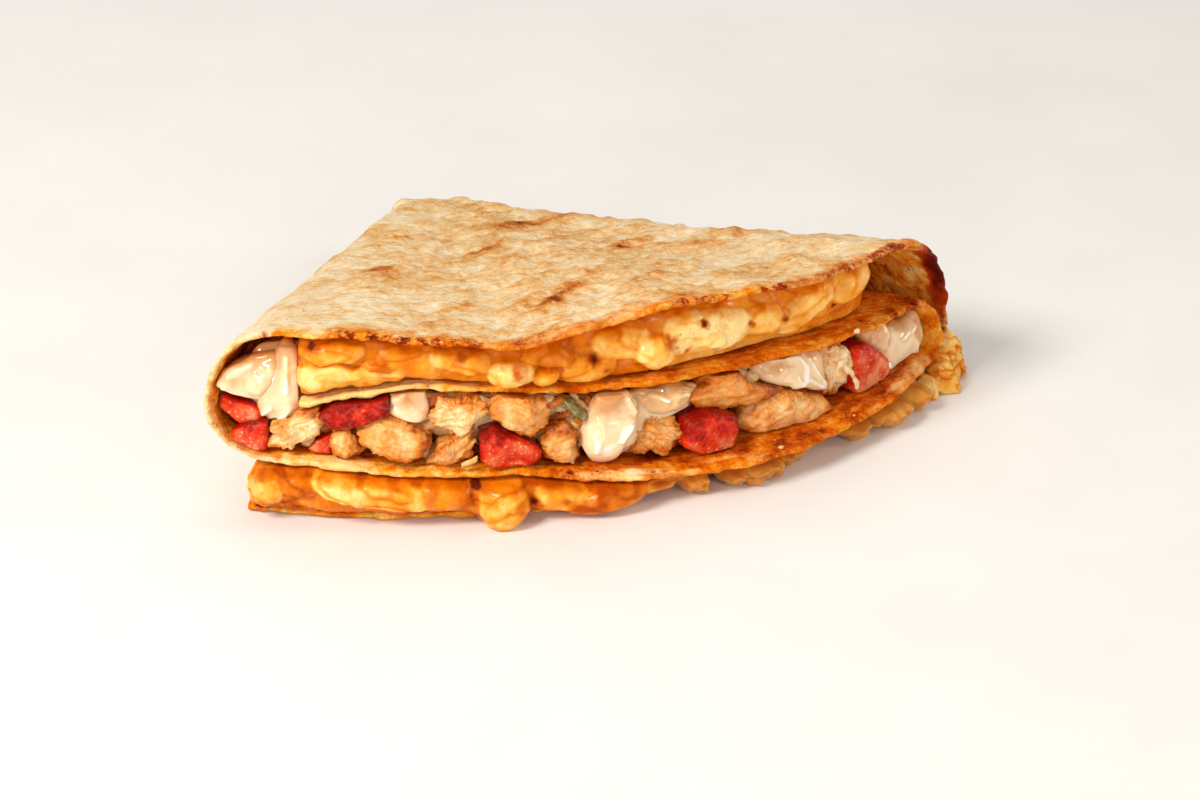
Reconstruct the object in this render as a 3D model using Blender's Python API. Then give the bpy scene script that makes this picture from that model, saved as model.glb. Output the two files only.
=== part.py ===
"""A toasted chicken wrap: one round flour tortilla, slit once from its rim to its middle and folded in
quarters over cheese, chicken, tomato and sauce.

The slit lets the four quarters roll up. Seen from the front arc they lie as follows, from the top:
layer 1, melted cheese, layer 2, the chicken filling, layer 3, melted cheese, layer 4. Layer 2 starts at the
slit, turns round the inner fold at the right into layer 3, that turns up round the left fold into layer 1,
and that turns down round the outer fold at the right into layer 4, which ends at the slit's other side.

Every shape is laid out round the tip, which is the middle of the tortilla: an angle in degrees across the
arc (0 points to the front, positive to the right), a radius from the tip and a height, in millimetres.
The model's origin is on the ground, under the middle of the whole.
"""

import math

import bmesh
import bpy
import numpy as np
from mathutils import Matrix, Vector, noise

MM = 0.001

# Driving dimensions
TORTILLA_RADIUS = 125.0
SHEET = 2.2
GAP = 0.35
CLOSE = SHEET / 2 + GAP
CLEAR = CLOSE + 0.15
TIP_TO_ORIGIN = (-2.87, 67.14)

# Middle height of each layer at the tip
TIP_HEIGHT = {1: 13.7, 2: 9.4, 3: 5.1, 4: SHEET / 2}

# Middle height of each layer along the front arc, as angle and height
FRONT_HEIGHT = {
    1: [(-33, 40.4), (-26, 40.9), (-18, 39.3), (-11, 37.6), (-4, 39.4), (4, 40.8), (12, 39.6), (20, 37.4),
        (27, 36.8), (30, 36.8), (33, 35.2)],
    2: [(-31, 24.6), (-26, 27.2), (-21, 28.8), (-13, 27.0), (-4, 25.1), (5, 24.2), (14, 23.3), (24, 21.2),
        (35, 19.4)],
    3: [(-36, 11.8), (-30, 12.0), (-23, 10.8), (-12, 9.9), (-4, 7.8), (5, 6.4), (20, 6.2), (35, 7.6)],
    4: [(-36, SHEET / 2), (35, SHEET / 2)],
}

# Radius of each layer's rim
RIM = {
    1: [(-33, 125.0), (-12, 126.5), (4, 124.0), (20, 125.0), (33, 126.0)],
    2: [(-31, 124.0), (-14, 121.0), (8, 123.5), (35, 125.0)],
    3: [(-33, 125.0), (-10, 125.5), (0, 130.0), (12, 133.5), (24, 132.5), (35, 130.0)],
    4: [(-36, 124.5), (-10, 125.0), (5, 122.0), (35, 123.0)],
}

# How the layers climb from the tip to the rim: 1 is straight, more is hollow
CLIMB = [(-10, 1.0), (28, 1.35)]

# Extra height that the filling gives the middle of the top layer: amount, radius, spread and half angle
CROWN, CROWN_RADIUS, CROWN_SPREAD, CROWN_ANGLE = 1.4, 92.0, 30.0, 22.0


class Fold:
    """A turn of the sheet: the angle where it starts, its side, the lower and upper layer that it joins,
    how far it bulges sideways and the share of its height where it is widest, both at the tip and at the
    front, and how square it is above and below there (2 is an ellipse)."""

    def __init__(self, angle, side, low, high, bulges, waists, above=2.0, below=2.0):
        self.angle, self.side, self.low, self.high = angle, side, low, high
        self.bulges, self.waists = bulges, waists
        self.above, self.below = above, below

    def heights(self, radius):
        """Lowest, widest and highest height of the fold's middle."""
        low = height(self.low, self.angle, radius)
        high = height(self.high, self.angle, radius)
        tip, front = self.waists
        waist = tip + (front - tip) * radius / TORTILLA_RADIUS
        return low, low + waist * (high - low), high

    def reach(self, radius):
        """How far the fold's middle bulges."""
        tip, front = self.bulges
        return math.hypot(tip, front * radius / TORTILLA_RADIUS)

    def middle(self, radius, turn):
        """Sideways bulge and height of the fold's middle, from -90 degrees at its foot to 90 at its top."""
        low, wide, high = self.heights(radius)
        square = 2 / (self.above if turn > 0 else self.below)
        span = high - wide if turn > 0 else wide - low
        out = abs(math.cos(math.radians(turn))) ** square
        up = abs(math.sin(math.radians(turn))) ** square
        return self.side * self.reach(radius) * out, wide + math.copysign(span * up, turn)

    def inside(self, radius, side, clear):
        """Lowest and highest height inside the fold at this sideways distance, clear of its middle."""
        low, wide, high = self.heights(radius)
        share = min(abs(side) / (self.reach(radius) - clear), 1.0)
        under = (1 - share**self.below) ** (1 / self.below)
        over = (1 - share**self.above) ** (1 / self.above)
        return wide - (wide - low - clear) * under, wide + (high - wide - clear) * over


FOLDS = {
    "left": Fold(-33.0, -1, 3, 1, (2.6, 14.2), (0.45, 0.38)),
    "inner": Fold(35.0, 1, 3, 2, (1.9, 7.2), (0.5, 0.45)),
    "outer": Fold(32.5, 1, 4, 1, (5.2, 19.4), (0.5, 0.26), above=1.7, below=2.2),
}

# The slit's side on layer 2, its side on layer 4, and how much room the first keeps to what passes it
SLIT_TOP, SLIT_BOTTOM, SLIT_HALF = -31.0, -36.0, 0.9

# The rounded end at the tip: the radius where it starts, the point that it closes towards for the outer
# layers, how far short of that the inner layers stay and which layers are inner ones
TIP_RADIUS = 12.0
TIP_END = Vector((0.8, -3.0, 7.4))
TIP_NESTING = 2.6
NESTED = {1: 0.0, 2: 1.0, 3: 1.0, 4: 0.0}

# Rows of the sheet's mesh: shares of the rim's radius, then shares of the tip's width as it closes
RADIAL_SHARES = (1.0, 0.95, 0.86, 0.73, 0.58, 0.42, 0.26, 0.16)
TIP_SHARES = (0.99, 0.93, 0.8, 0.6, 0.36, 0.16)

# The most that a bend may lengthen the sheet's half thickness
MITER_LIMIT = 1.25


def smooth(points, x):
    """A curve through the points with rounded turns, level past its ends."""
    xs = [p[0] for p in points]
    ys = [p[1] for p in points]
    if x <= xs[0]:
        return ys[0]
    if x >= xs[-1]:
        return ys[-1]
    i = max(k for k in range(len(xs) - 1) if xs[k] <= x)
    t = (x - xs[i]) / (xs[i + 1] - xs[i])
    return ys[i] + (ys[i + 1] - ys[i]) * t * t * (3 - 2 * t)


def height(layer, angle, radius):
    """Middle height of a layer of the sheet."""
    share = (radius / TORTILLA_RADIUS) ** (smooth(CLIMB, angle) if layer == 1 else 1.0)
    low = TIP_HEIGHT[layer]
    z = low + (smooth(FRONT_HEIGHT[layer], angle) - low) * share
    if layer == 1:
        away = ((radius - CROWN_RADIUS) / CROWN_SPREAD) ** 2 + (angle / CROWN_ANGLE) ** 2
        z += CROWN * math.exp(-away)
    return z


def at(angle, radius, z, side=0.0):
    """The point at an angle and radius from the tip, moved sideways from that radial line, in metres."""
    a = math.radians(angle)
    x = radius * math.sin(a) + side * math.cos(a) + TIP_TO_ORIGIN[0]
    y = -radius * math.cos(a) + side * math.sin(a) + TIP_TO_ORIGIN[1]
    return Vector((x * MM, y * MM, z * MM))


class Step:
    """One step along the folded sheet: the radius of its rim there, how deep inside the roll it lies from 0
    to 1, and where its middle is at each radius as angle, sideways bulge and height."""

    def __init__(self, rim, nested, place):
        self.rim, self.nested, self.place = rim, nested, place


def flat_steps(layer, start, end, count, last=False):
    """Steps across one layer."""
    found = []
    for angle in np.linspace(start, end, count, endpoint=last):
        found.append(
            Step(smooth(RIM[layer], angle), NESTED[layer], lambda r, a=angle: (a, 0.0, height(layer, a, r)))
        )
    return found


def turn_steps(name, start, end, count):
    """Steps round one fold."""
    fold = FOLDS[name]
    rims = smooth(RIM[fold.low], fold.angle), smooth(RIM[fold.high], fold.angle)
    found = []
    for turn in np.linspace(start, end, count, endpoint=False):
        rise = (1 + math.sin(math.radians(turn))) / 2
        rim = rims[0] + (rims[1] - rims[0]) * rise
        nested = NESTED[fold.low] + (NESTED[fold.high] - NESTED[fold.low]) * rise
        found.append(Step(rim, nested, lambda r, t=turn: (fold.angle, *fold.middle(r, t))))
    return found


def sheet_steps():
    """Steps along the whole folded sheet, from one side of the slit to the other."""
    left, inner, outer = FOLDS["left"].angle, FOLDS["inner"].angle, FOLDS["outer"].angle
    return [
        *flat_steps(2, SLIT_TOP, inner, 13),
        *turn_steps("inner", 90, -90, 7),
        *flat_steps(3, inner, left, 13),
        *turn_steps("left", -90, 90, 9),
        *flat_steps(1, left, outer, 17),
        *turn_steps("outer", 90, -90, 10),
        *flat_steps(4, outer, SLIT_BOTTOM, 10, last=True),
    ]


def sheet_grid():
    """Middle points of the folded sheet and its half thickness, as rows from the rim back past the tip."""
    steps = sheet_steps()
    rows, halves = [], []
    for share in RADIAL_SHARES:
        row = []
        for step in steps:
            angle, side, z = step.place(share * step.rim)
            row.append(at(angle, share * step.rim, z, side))
        rows.append(row)
        halves.append(SHEET / 2)
    end = (TIP_END + Vector((*TIP_TO_ORIGIN, 0.0))) * MM
    for share in TIP_SHARES:
        back = math.sqrt(1 - share * share)
        row = []
        for step in steps:
            angle, side, z = step.place(TIP_RADIUS)
            p = at(angle, TIP_RADIUS, z, side)
            depth = end.y - TIP_NESTING * MM * step.nested - p.y
            x, z = end.x + (p.x - end.x) * share, end.z + (p.z - end.z) * share
            row.append(Vector((x, p.y + depth * back, z)))
        rows.append(row)
        halves.append(SHEET / 2 * share * (1 + share) / 2)
    return np.array(rows), np.array(halves) * MM


def bisectors(points, axis):
    """At each point the unit direction half way between the steps to it and from it, and how much longer
    an offset has to be there to stay level with both steps."""
    steps = np.diff(points, axis=axis)
    steps /= np.linalg.norm(steps, axis=2, keepdims=True)
    before = np.concatenate([np.take(steps, [0], axis), steps], axis)
    after = np.concatenate([steps, np.take(steps, [-1], axis)], axis)
    total = before + after
    length = np.linalg.norm(total, axis=2, keepdims=True)
    return total / length, 2 / length


def add_object(name, mesh_data, material, smooth_shading=True):
    obj = bpy.data.objects.new(name, mesh_data)
    PARTS.objects.link(obj)
    mesh_data.materials.append(material)
    if smooth_shading:
        mesh_data.shade_smooth()
    return obj


def grid_faces(rows, columns, wrap_columns=False):
    """Quads over a grid of points numbered row by row."""
    faces = []
    for start in range(0, (rows - 1) * columns, columns):
        for c in range(columns if wrap_columns else columns - 1):
            after = (c + 1) % columns
            faces.append((start + c, start + after, start + columns + after, start + columns + c))
    return faces


def closed_mesh(name, points, faces):
    """A mesh of these faces with all of them turned outwards."""
    data = bpy.data.meshes.new(name)
    data.from_pydata([tuple(p) for p in points], [], faces)
    work = bmesh.new()
    work.from_mesh(data)
    bmesh.ops.recalc_face_normals(work, faces=work.faces)
    bmesh.ops.triangulate(work, faces=work.faces)
    work.to_mesh(data)
    work.free()
    return data


def build_tortilla(material):
    """The one folded sheet: its middle surface moved out by half its thickness on both sides, with a rim
    of faces between the two."""
    middle, half = sheet_grid()
    rows, columns, _ = middle.shape
    along, stretch = bisectors(middle, 1)
    inward, _ = bisectors(middle, 0)
    normal = np.cross(along, inward)
    normal /= np.linalg.norm(normal, axis=2, keepdims=True)
    reach = normal * half[:, None, None] * np.minimum(stretch, MITER_LIMIT)
    points = np.concatenate([(middle + reach).reshape(-1, 3), (middle - reach).reshape(-1, 3)])
    points[:, 2] = np.maximum(points[:, 2], 0.0)
    count = rows * columns
    faces = grid_faces(rows, columns)
    faces += [tuple(i + count for i in reversed(f)) for f in grid_faces(rows, columns)]
    border = [c for c in range(columns)]
    border += [r * columns + columns - 1 for r in range(1, rows)]
    border += [(rows - 1) * columns + c for c in range(columns - 2, -1, -1)]
    border += [r * columns for r in range(rows - 2, 0, -1)]
    for a, b in zip(border, border[1:] + border[:1]):
        faces.append((a, a + count, b + count, b))
    return add_object("tortilla", closed_mesh("tortilla", points, faces), material)


def build_slab(name, sections, material):
    """A layer of filling, lofted through its closed radial sections from left to right."""
    columns = len(sections[0])
    points = [p for section in sections for p in section]
    faces = grid_faces(len(sections), columns, wrap_columns=True)
    faces.append(tuple(range(columns)))
    faces.append(tuple(reversed(range(len(points) - columns, len(points)))))
    return add_object(name, closed_mesh(name, points, faces), material)


def swell(angle, z, lumps):
    """How far the cheese stands out at the front: each lump is (angle, height, width, tall, reach)."""
    total = 0.0
    for a, h, width, tall, reach in lumps:
        across = (angle - a) * math.radians(1) * TORTILLA_RADIUS / (width / 2)
        up = (z - h) / (tall / 2)
        total = max(total, reach * math.exp(-(across * across + up * up)))
    return total


UPPER_CHEESE_LUMPS = [
    (-27.0, 30.0, 18, 7, 3.0),
    (-16.5, 34.0, 11, 5, 2.5),
    (-11.8, 31.0, 8, 7, 4.6),
    (-8.3, 29.0, 5, 4, 3.6),
    (1.6, 30.0, 8, 7, 4.4),
    (9.2, 33.0, 12, 9, 3.2),
    (20.0, 30.5, 14, 7, 3.4),
    (25.5, 32.5, 14, 5, 1.8),
]
LOWER_CHEESE_LUMPS = [
    (-33.0, 7.0, 12, 8, 2.0),
    (-25.5, 6.5, 16, 8, 3.4),
    (-18.0, 5.5, 11, 7, 2.6),
    (-12.7, 4.5, 11, 14, 6.0),
    (-7.6, 4.5, 10, 7, 3.0),
    (-3.2, 2.5, 18, 8, 4.6),
    (5.8, 1.5, 6, 6, 6.5),
    (12.2, 1.5, 14, 6, 8.5),
    (23.5, 1.5, 5, 6, 7.0),
    (28.0, 1.5, 9, 6, 8.6),
    (31.8, 1.5, 5, 6, 8.0),
]
# Where the lower cheese runs down to the ground in front of layer 4: angle and half width in degrees
DRIPS = [
    (-12.7, 2.8),
    (-3.6, 4.6),
    (5.8, 1.8),
    (12.2, 3.8),
    (23.5, 1.4),
    (28.0, 2.4),
    (32.0, 1.8),
    (34.4, 1.6),
]

# The cheese: shares of the rim's radius in a radial section, shares of the height at its front, and the
# step between sections in degrees
SLAB_SHARES = (0.1, 0.24, 0.42, 0.6, 0.78, 0.91)
UPPER_FRONT_SHARES = (0.22, 0.45, 0.68, 0.88)
LOWER_FRONT_SHARES = (0.08, 0.35, 0.65, 0.9)
ANGLE_STEP = 2.2
UPPER_CHEESE_END, LOWER_CHEESE_END = 32.0, 34.0

# How far the upper cheese stays behind the rim above it, how far the lower cheese stands before the rim of
# layer 4, how much farther it reaches at its top at most, and how high it ends above the ground
UPPER_INSET, LOWER_STAND, LOWER_LEAN, DRIP_FOOT = 0.6, 1.2, 5.0, 0.05


def angles_between(first, last):
    return np.linspace(first, last, int((last - first) / ANGLE_STEP) + 1)


def build_upper_cheese(material):
    """Melted cheese between layers 1 and 2, lumpy where it shows at the front."""
    sections = []
    for angle in angles_between(SLIT_TOP, UPPER_CHEESE_END):
        rim = smooth(RIM[2], angle) - UPPER_INSET
        low = [(s * rim, height(2, angle, s * rim) + CLEAR) for s in (*SLAB_SHARES, 1.0)]
        high = [(s * rim, height(1, angle, s * rim) - CLEAR) for s in (*SLAB_SHARES, 1.0)]
        front = []
        for share in UPPER_FRONT_SHARES:
            z = low[-1][1] + share * (high[-1][1] - low[-1][1])
            front.append((rim + swell(angle, z, UPPER_CHEESE_LUMPS), z))
        sections.append([at(angle, r, z) for r, z in [*low, *front, *reversed(high)]])
    return build_slab("cheese_upper", sections, material)


# The cheese that fried outside the inner fold: distance from that fold's line, top height, front radius at
# the top and at the foot
CRISP = [
    (0.6, 5.0, 131.0, 132.5),
    (1.4, 5.2, 131.0, 133.0),
    (3.4, 6.2, 131.5, 135.5),
    (5.4, 9.0, 131.0, 135.2),
    (7.6, 13.4, 129.6, 133.0),
    (9.2, 11.6, 130.2, 132.6),
    (11.2, 9.4, 130.6, 132.0),
    (12.2, 6.2, 130.8, 132.0),
    (13.8, 3.6, 130.0, 131.4),
]
# Its back radius, how far its back points step forwards, where the foot is level, its gap to the inner
# fold above it and how far past that fold's line it still lies on layer 4
CRISP_BACK, CRISP_STEP, CRISP_HEEL, CRISP_GAP, CRISP_ON_SHEET = 127.2, 0.3, 2.2, 0.65, 1.0


def crisp_section(side, top, high_front, low_front):
    """One radial section of the fried cheese, clear of the inner fold above it."""
    fold = FOLDS["inner"]
    clear = SHEET / 2 + CRISP_GAP
    foot_radius = CRISP_BACK + CRISP_HEEL
    lowest, wide, _ = fold.heights(foot_radius)
    share = side / (fold.reach(foot_radius) + clear)
    if share < 1:
        top = min(top, wide - (wide - lowest + clear) * math.sqrt(1 - share * share))
    back = SHEET + GAP if side < CRISP_ON_SHEET else DRIP_FOOT
    radii = [CRISP_BACK + CRISP_STEP * k for k in range(len(SLAB_SHARES) + 1)]
    low = [(radius, back) for radius in radii] + [(foot_radius, DRIP_FOOT)]
    high = [(radius, top) for radius in radii]
    front = []
    for share in LOWER_FRONT_SHARES:
        radius = low_front + (high_front - low_front) * share
        front.append((radius, DRIP_FOOT + share * (top - DRIP_FOOT)))
    return [at(fold.angle, r, z, side) for r, z in [*low, *front, *reversed(high)]]


def build_lower_cheese(material):
    """Melted cheese between layers 3 and 4. It hangs over the rim of layer 4 and drips to the ground."""
    sections = []
    base = SHEET + GAP
    for angle in angles_between(SLIT_BOTTOM, LOWER_CHEESE_END):
        rim = smooth(RIM[4], angle)
        top_rim = min(smooth(RIM[3], angle), rim + LOWER_LEAN)
        drip = max(math.exp(-(((angle - a) / half) ** 2)) for a, half in DRIPS)
        foot = base - (base - DRIP_FOOT) * min(1.0, 1.5 * drip)
        low = [(s * rim, base) for s in SLAB_SHARES]
        low += [(rim + GAP, base), (rim + GAP, foot - DRIP_FOOT / 2)]
        high = [(s * top_rim, height(3, angle, s * top_rim) - CLEAR) for s in (*SLAB_SHARES, 1.0)]
        front = []
        for share in LOWER_FRONT_SHARES:
            z = foot + share * (high[-1][1] - foot)
            out = rim + LOWER_STAND + (top_rim - rim) * share
            front.append((out + swell(angle, z, LOWER_CHEESE_LUMPS) * (1 - 0.35 * share), z))
        sections.append([at(angle, r, z) for r, z in [*low, *front, *reversed(high)]])
    sections += [crisp_section(*each) for each in CRISP]
    return build_slab("cheese_lower", sections, material)


def pocket(angle, radius, side):
    """Lowest and highest height free between layers 3 and 2, and in the left fold between 3 and 1."""
    if side:
        return FOLDS["left" if side < 0 else "inner"].inside(radius, side, CLOSE)
    top = 2 if angle > SLIT_TOP - SLIT_HALF else 1
    return height(3, angle, radius) + CLOSE, height(top, angle, radius) - CLOSE


# The filling's core: where it ends at the front and at the tip, its own gap to the sheet, and its front's
# relief as how far it stands out and how much of that is uneven
CORE_RIM, CORE_START, CORE_GAP = 110.0, 22.0, 0.4
CORE_BULGE, CORE_RELIEF = 1.2, 1.6
# Its sections: shares of each fold's reach, and the angles close to the slit's top side
CORE_LEFT, CORE_RIGHT = (0.9, 0.7, 0.45, 0.2), (0.3, 0.6, 0.85)
CORE_AT_SLIT = (SLIT_TOP - 1.0, SLIT_TOP - 0.5)


def filling_places():
    """The angle of each section of the filling's core and its share of the way into a fold."""
    left, inner = FOLDS["left"].angle, FOLDS["inner"].angle
    places = [(left, -share) for share in CORE_LEFT]
    places += [(angle, 0.0) for angle in (left, *CORE_AT_SLIT)]
    places += [(angle, 0.0) for angle in np.linspace(SLIT_TOP + 2, inner, 22)]
    return places + [(inner, share) for share in CORE_RIGHT]


def build_filling(material):
    """The chicken filling behind the pieces that show, from the left fold to the inner fold."""
    sections = []
    for angle, share in filling_places():
        fold = FOLDS["left" if share < 0 else "inner"]
        low, high = [], []
        for radius in np.linspace(CORE_START, CORE_RIM, 7):
            side = share * (fold.reach(radius) - CLEAR)
            bottom, top = pocket(angle, radius, side)
            low.append((radius, bottom + CORE_GAP, side))
            high.append((radius, top - CORE_GAP, side))
        front = []
        _, bottom, side = low[-1]
        for up in (0.2, 0.4, 0.6, 0.8):
            z = bottom + up * (high[-1][1] - bottom)
            bump = noise.noise(Vector((angle * 0.35, z * 0.25, 3.1)))
            front.append((CORE_RIM + CORE_BULGE + CORE_RELIEF * bump, z, side))
        sections.append([at(angle, r, z, b) for r, z, b in [*low, *front, *reversed(high)]])
    return build_slab("filling", sections, material)


# The pieces that show at the front: name, kind, angle, radius of the middle, height, then width across,
# depth and height of the piece, its lean in degrees and the seed of its relief
PIECES = [
    ("tomato_left", "tomato", -35.7, 120.0, 16.6, 8.6, 8.0, 8.0, 6, 11),
    ("tomato_left_back", "tomato", -36.4, 118.5, 22.2, 8.5, 7.0, 5.6, -14, 12),
    ("chicken_left", "flaky", -31.6, 120.5, 17.7, 12.4, 9.5, 10.0, 12, 21),
    ("tomato_long", "tomato", -25.6, 120.5, 23.4, 13.6, 8.5, 7.0, 9, 13),
    ("chicken_smooth", "chunk", -22.0, 121.5, 15.6, 14.8, 10.5, 9.6, -6, 22),
    ("chicken_small", "chunk", -27.2, 121.5, 14.8, 6.0, 8.0, 7.0, 10, 23),
    ("tomato_small", "tomato", -28.6, 119.5, 17.4, 5.0, 5.0, 4.6, 20, 18),
    ("chicken_shreds", "flaky", -15.8, 120.0, 21.6, 11.4, 9.0, 7.0, 4, 24),
    ("chicken_flakes", "flaky", -16.9, 121.0, 13.8, 9.6, 9.0, 8.2, 22, 25),
    ("tomato_middle", "tomato", -11.5, 121.0, 13.6, 11.8, 9.0, 7.8, -5, 14),
    ("chicken_round", "chunk", -9.9, 120.5, 19.8, 12.8, 10.0, 8.6, 8, 26),
    ("chicken_low", "chunk", -6.5, 121.0, 12.4, 9.6, 9.5, 8.0, -10, 27),
    ("sauce_drop", "drop", -1.6, 122.5, 14.6, 10.0, 9.0, 14.8, 8, 41),
    ("sauce_spread", "sauce", 2.6, 119.5, 21.0, 13.0, 8.0, 4.8, 4, 47),
    ("chicken_frayed", "flaky", 3.6, 121.0, 12.8, 12.0, 9.0, 11.0, -14, 28),
    ("tomato_right", "tomato", 8.4, 122.0, 11.8, 11.4, 10.0, 9.6, -4, 15),
    ("chicken_slice", "chunk", 10.2, 121.0, 18.6, 17.0, 9.5, 5.8, 7, 29),
    ("chicken_large", "chunk", 16.2, 122.0, 11.4, 18.6, 11.0, 9.6, 10, 30),
    ("sauce_spill", "sauce", 17.2, 120.5, 18.0, 12.8, 9.0, 6.4, -4, 42),
    ("chicken_strands", "flaky", 22.8, 121.0, 13.2, 6.6, 9.0, 10.8, 8, 31),
    ("tomato_end", "tomato", 27.8, 122.0, 12.4, 7.8, 9.0, 11.8, 10, 16),
    ("sauce_pool_right", "sauce", 33.4, 121.5, 13.0, 13.6, 10.5, 15.0, 0, 43),
    ("sauce_pool_left", "sauce", -35.4, 120.0, 27.9, 12.4, 9.0, 9.2, 14, 44),
    ("sauce_run_left", "sauce", -32.4, 119.4, 24.6, 7.0, 8.0, 12.0, -12, 45),
    ("sauce_bead", "sauce", -21.0, 120.5, 24.2, 8.4, 7.5, 4.8, 0, 46),
    ("pepper_green", "tomato", -5.4, 121.5, 20.0, 4.4, 5.0, 3.2, 30, 17),
]

# For each kind: relief, how fine the relief is, and the steps of its round cage
KINDS = {"chunk": (0.16, 1.6, 3), "flaky": (0.3, 2.6, 3), "sauce": (0.07, 1.1, 2), "drop": (0.05, 1.0, 3)}


def into_pocket(angle, radius, z, margin=0.15):
    """The nearest place in the pocket to this one, as angle, radius, height and sideways bulge."""
    side = 0.0
    for fold in (FOLDS["left"], FOLDS["inner"]):
        past = (angle - fold.angle) * fold.side
        if past > 0:
            most = (fold.reach(radius) - CLOSE - margin) * 0.97
            side = fold.side * min(radius * math.sin(math.radians(past)), most)
            angle = fold.angle
    low, high = pocket(angle, radius, side)
    if high - low < 2 * margin:
        return angle, radius, (low + high) / 2, side
    return angle, radius, min(max(z, low + margin), high - margin), side


def lump_mesh(name, kind, width, depth, tall, seed):
    """A piece round its own middle, in millimetres: X across, -Y to the front, Z up."""
    work = bmesh.new()
    if kind == "tomato":
        bmesh.ops.create_cube(work, size=1.0)
        bmesh.ops.bevel(work, geom=work.edges[:], offset=0.16, segments=2, profile=0.6, affect="EDGES")
        relief, fine = 0.06, 1.4
    else:
        relief, fine, steps = KINDS[kind]
        bmesh.ops.create_icosphere(work, subdivisions=steps, radius=0.5)
    for vertex in work.verts:
        p = vertex.co.copy()
        push = 1 + relief * noise.noise(p * fine * 2 + Vector((seed, 0, 0)))
        push += relief * 0.6 * noise.noise(p * fine * 5 + Vector((0, seed, 0)))
        if kind == "drop":
            push *= 1.0 + 0.25 * max(0.0, p.z * 2)
        vertex.co = Vector((p.x * width, p.y * depth, p.z * tall)) * push
    bmesh.ops.triangulate(work, faces=work.faces)
    data = bpy.data.meshes.new(name)
    work.to_mesh(data)
    work.free()
    return data


def build_piece(spec, material):
    """One piece of the filling, pressed between the layers of the sheet that hold it."""
    name, kind, angle, radius, z, width, depth, tall, lean, seed = spec
    data = lump_mesh(name, kind, width, depth, tall, seed)
    data.transform(Matrix.Rotation(math.radians(lean), 4, "Y"))
    for vertex in data.vertices:
        reach = radius - vertex.co.y
        turn = angle + math.degrees(vertex.co.x / reach)
        vertex.co = at(*into_pocket(turn, reach, z + vertex.co.z))
    data.update()
    return add_object(name, data, material)


def inflated(obj):
    """A cutter of the piece's shape, grown by the gap all round."""
    data = obj.data.copy()
    data.name = "around_" + obj.name
    moved = [v.co + v.normal * GAP * MM for v in obj.data.vertices]
    for vertex, co in zip(data.vertices, moved):
        vertex.co = co
    cutter = bpy.data.objects.new(data.name, data)
    CUTTERS.objects.link(cutter)
    cutter.hide_render = True
    cutter.display_type = "WIRE"
    return cutter


def boxes_meet(a, b):
    """Whether two objects' boxes come within the gap of each other."""
    pa = np.array([v.co for v in a.data.vertices])
    pb = np.array([v.co for v in b.data.vertices])
    margin = GAP * MM
    return bool((pa.min(0) - margin <= pb.max(0)).all() and (pb.min(0) - margin <= pa.max(0)).all())


def carve(pieces):
    """Takes the earlier pieces, grown by the gap, out of each later one that they reach."""
    cutters = [inflated(piece) for piece in pieces]
    for later, piece in enumerate(pieces):
        for earlier in range(later):
            if boxes_meet(pieces[earlier], piece):
                cut = piece.modifiers.new("clear_of_" + pieces[earlier].name, "BOOLEAN")
                cut.operation = "DIFFERENCE"
                cut.solver = "EXACT"
                cut.object = cutters[earlier]


def food(name, colour, roughness):
    """A plain finish for one kind of food."""
    material = bpy.data.materials.new(name)
    material.use_nodes = True
    shader = material.node_tree.nodes["Principled BSDF"]
    shader.inputs["Base Color"].default_value = (*colour, 1.0)
    shader.inputs["Roughness"].default_value = roughness
    shader.inputs["Metallic"].default_value = 0.0
    material.diffuse_color = (*colour, 1.0)
    return material


def clear_scene():
    for obj in list(bpy.data.objects):
        bpy.data.objects.remove(obj, do_unlink=True)


def new_collection(name):
    made = bpy.data.collections.new(name)
    bpy.context.scene.collection.children.link(made)
    return made


clear_scene()
PARTS = new_collection("chicken_wrap")
CUTTERS = new_collection("cutters")

MATERIALS = {
    "tortilla": food("toasted_tortilla", (0.80, 0.56, 0.30), 0.7),
    "cheese": food("melted_cheese", (0.90, 0.62, 0.24), 0.3),
    "chicken": food("chicken", (0.78, 0.55, 0.34), 0.45),
    "tomato": food("tomato", (0.72, 0.08, 0.04), 0.3),
    "sauce": food("white_sauce", (0.90, 0.80, 0.64), 0.2),
    "pepper": food("green_pepper", (0.24, 0.28, 0.08), 0.35),
}


def material_of(name):
    return MATERIALS[name.split("_")[0]]


build_tortilla(MATERIALS["tortilla"])
build_upper_cheese(MATERIALS["cheese"])
build_lower_cheese(MATERIALS["cheese"])
build_filling(MATERIALS["chicken"])
carve([build_piece(spec, material_of(spec[0])) for spec in PIECES])
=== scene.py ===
"""The looks of the toasted chicken wrap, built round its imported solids.

Shapes are worked out in millimetres round the tip, which is the middle of the folded tortilla: an angle in
degrees across the arc (0 points to the front, positive to the right), a radius from the tip and a height.
"""

import math

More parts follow.
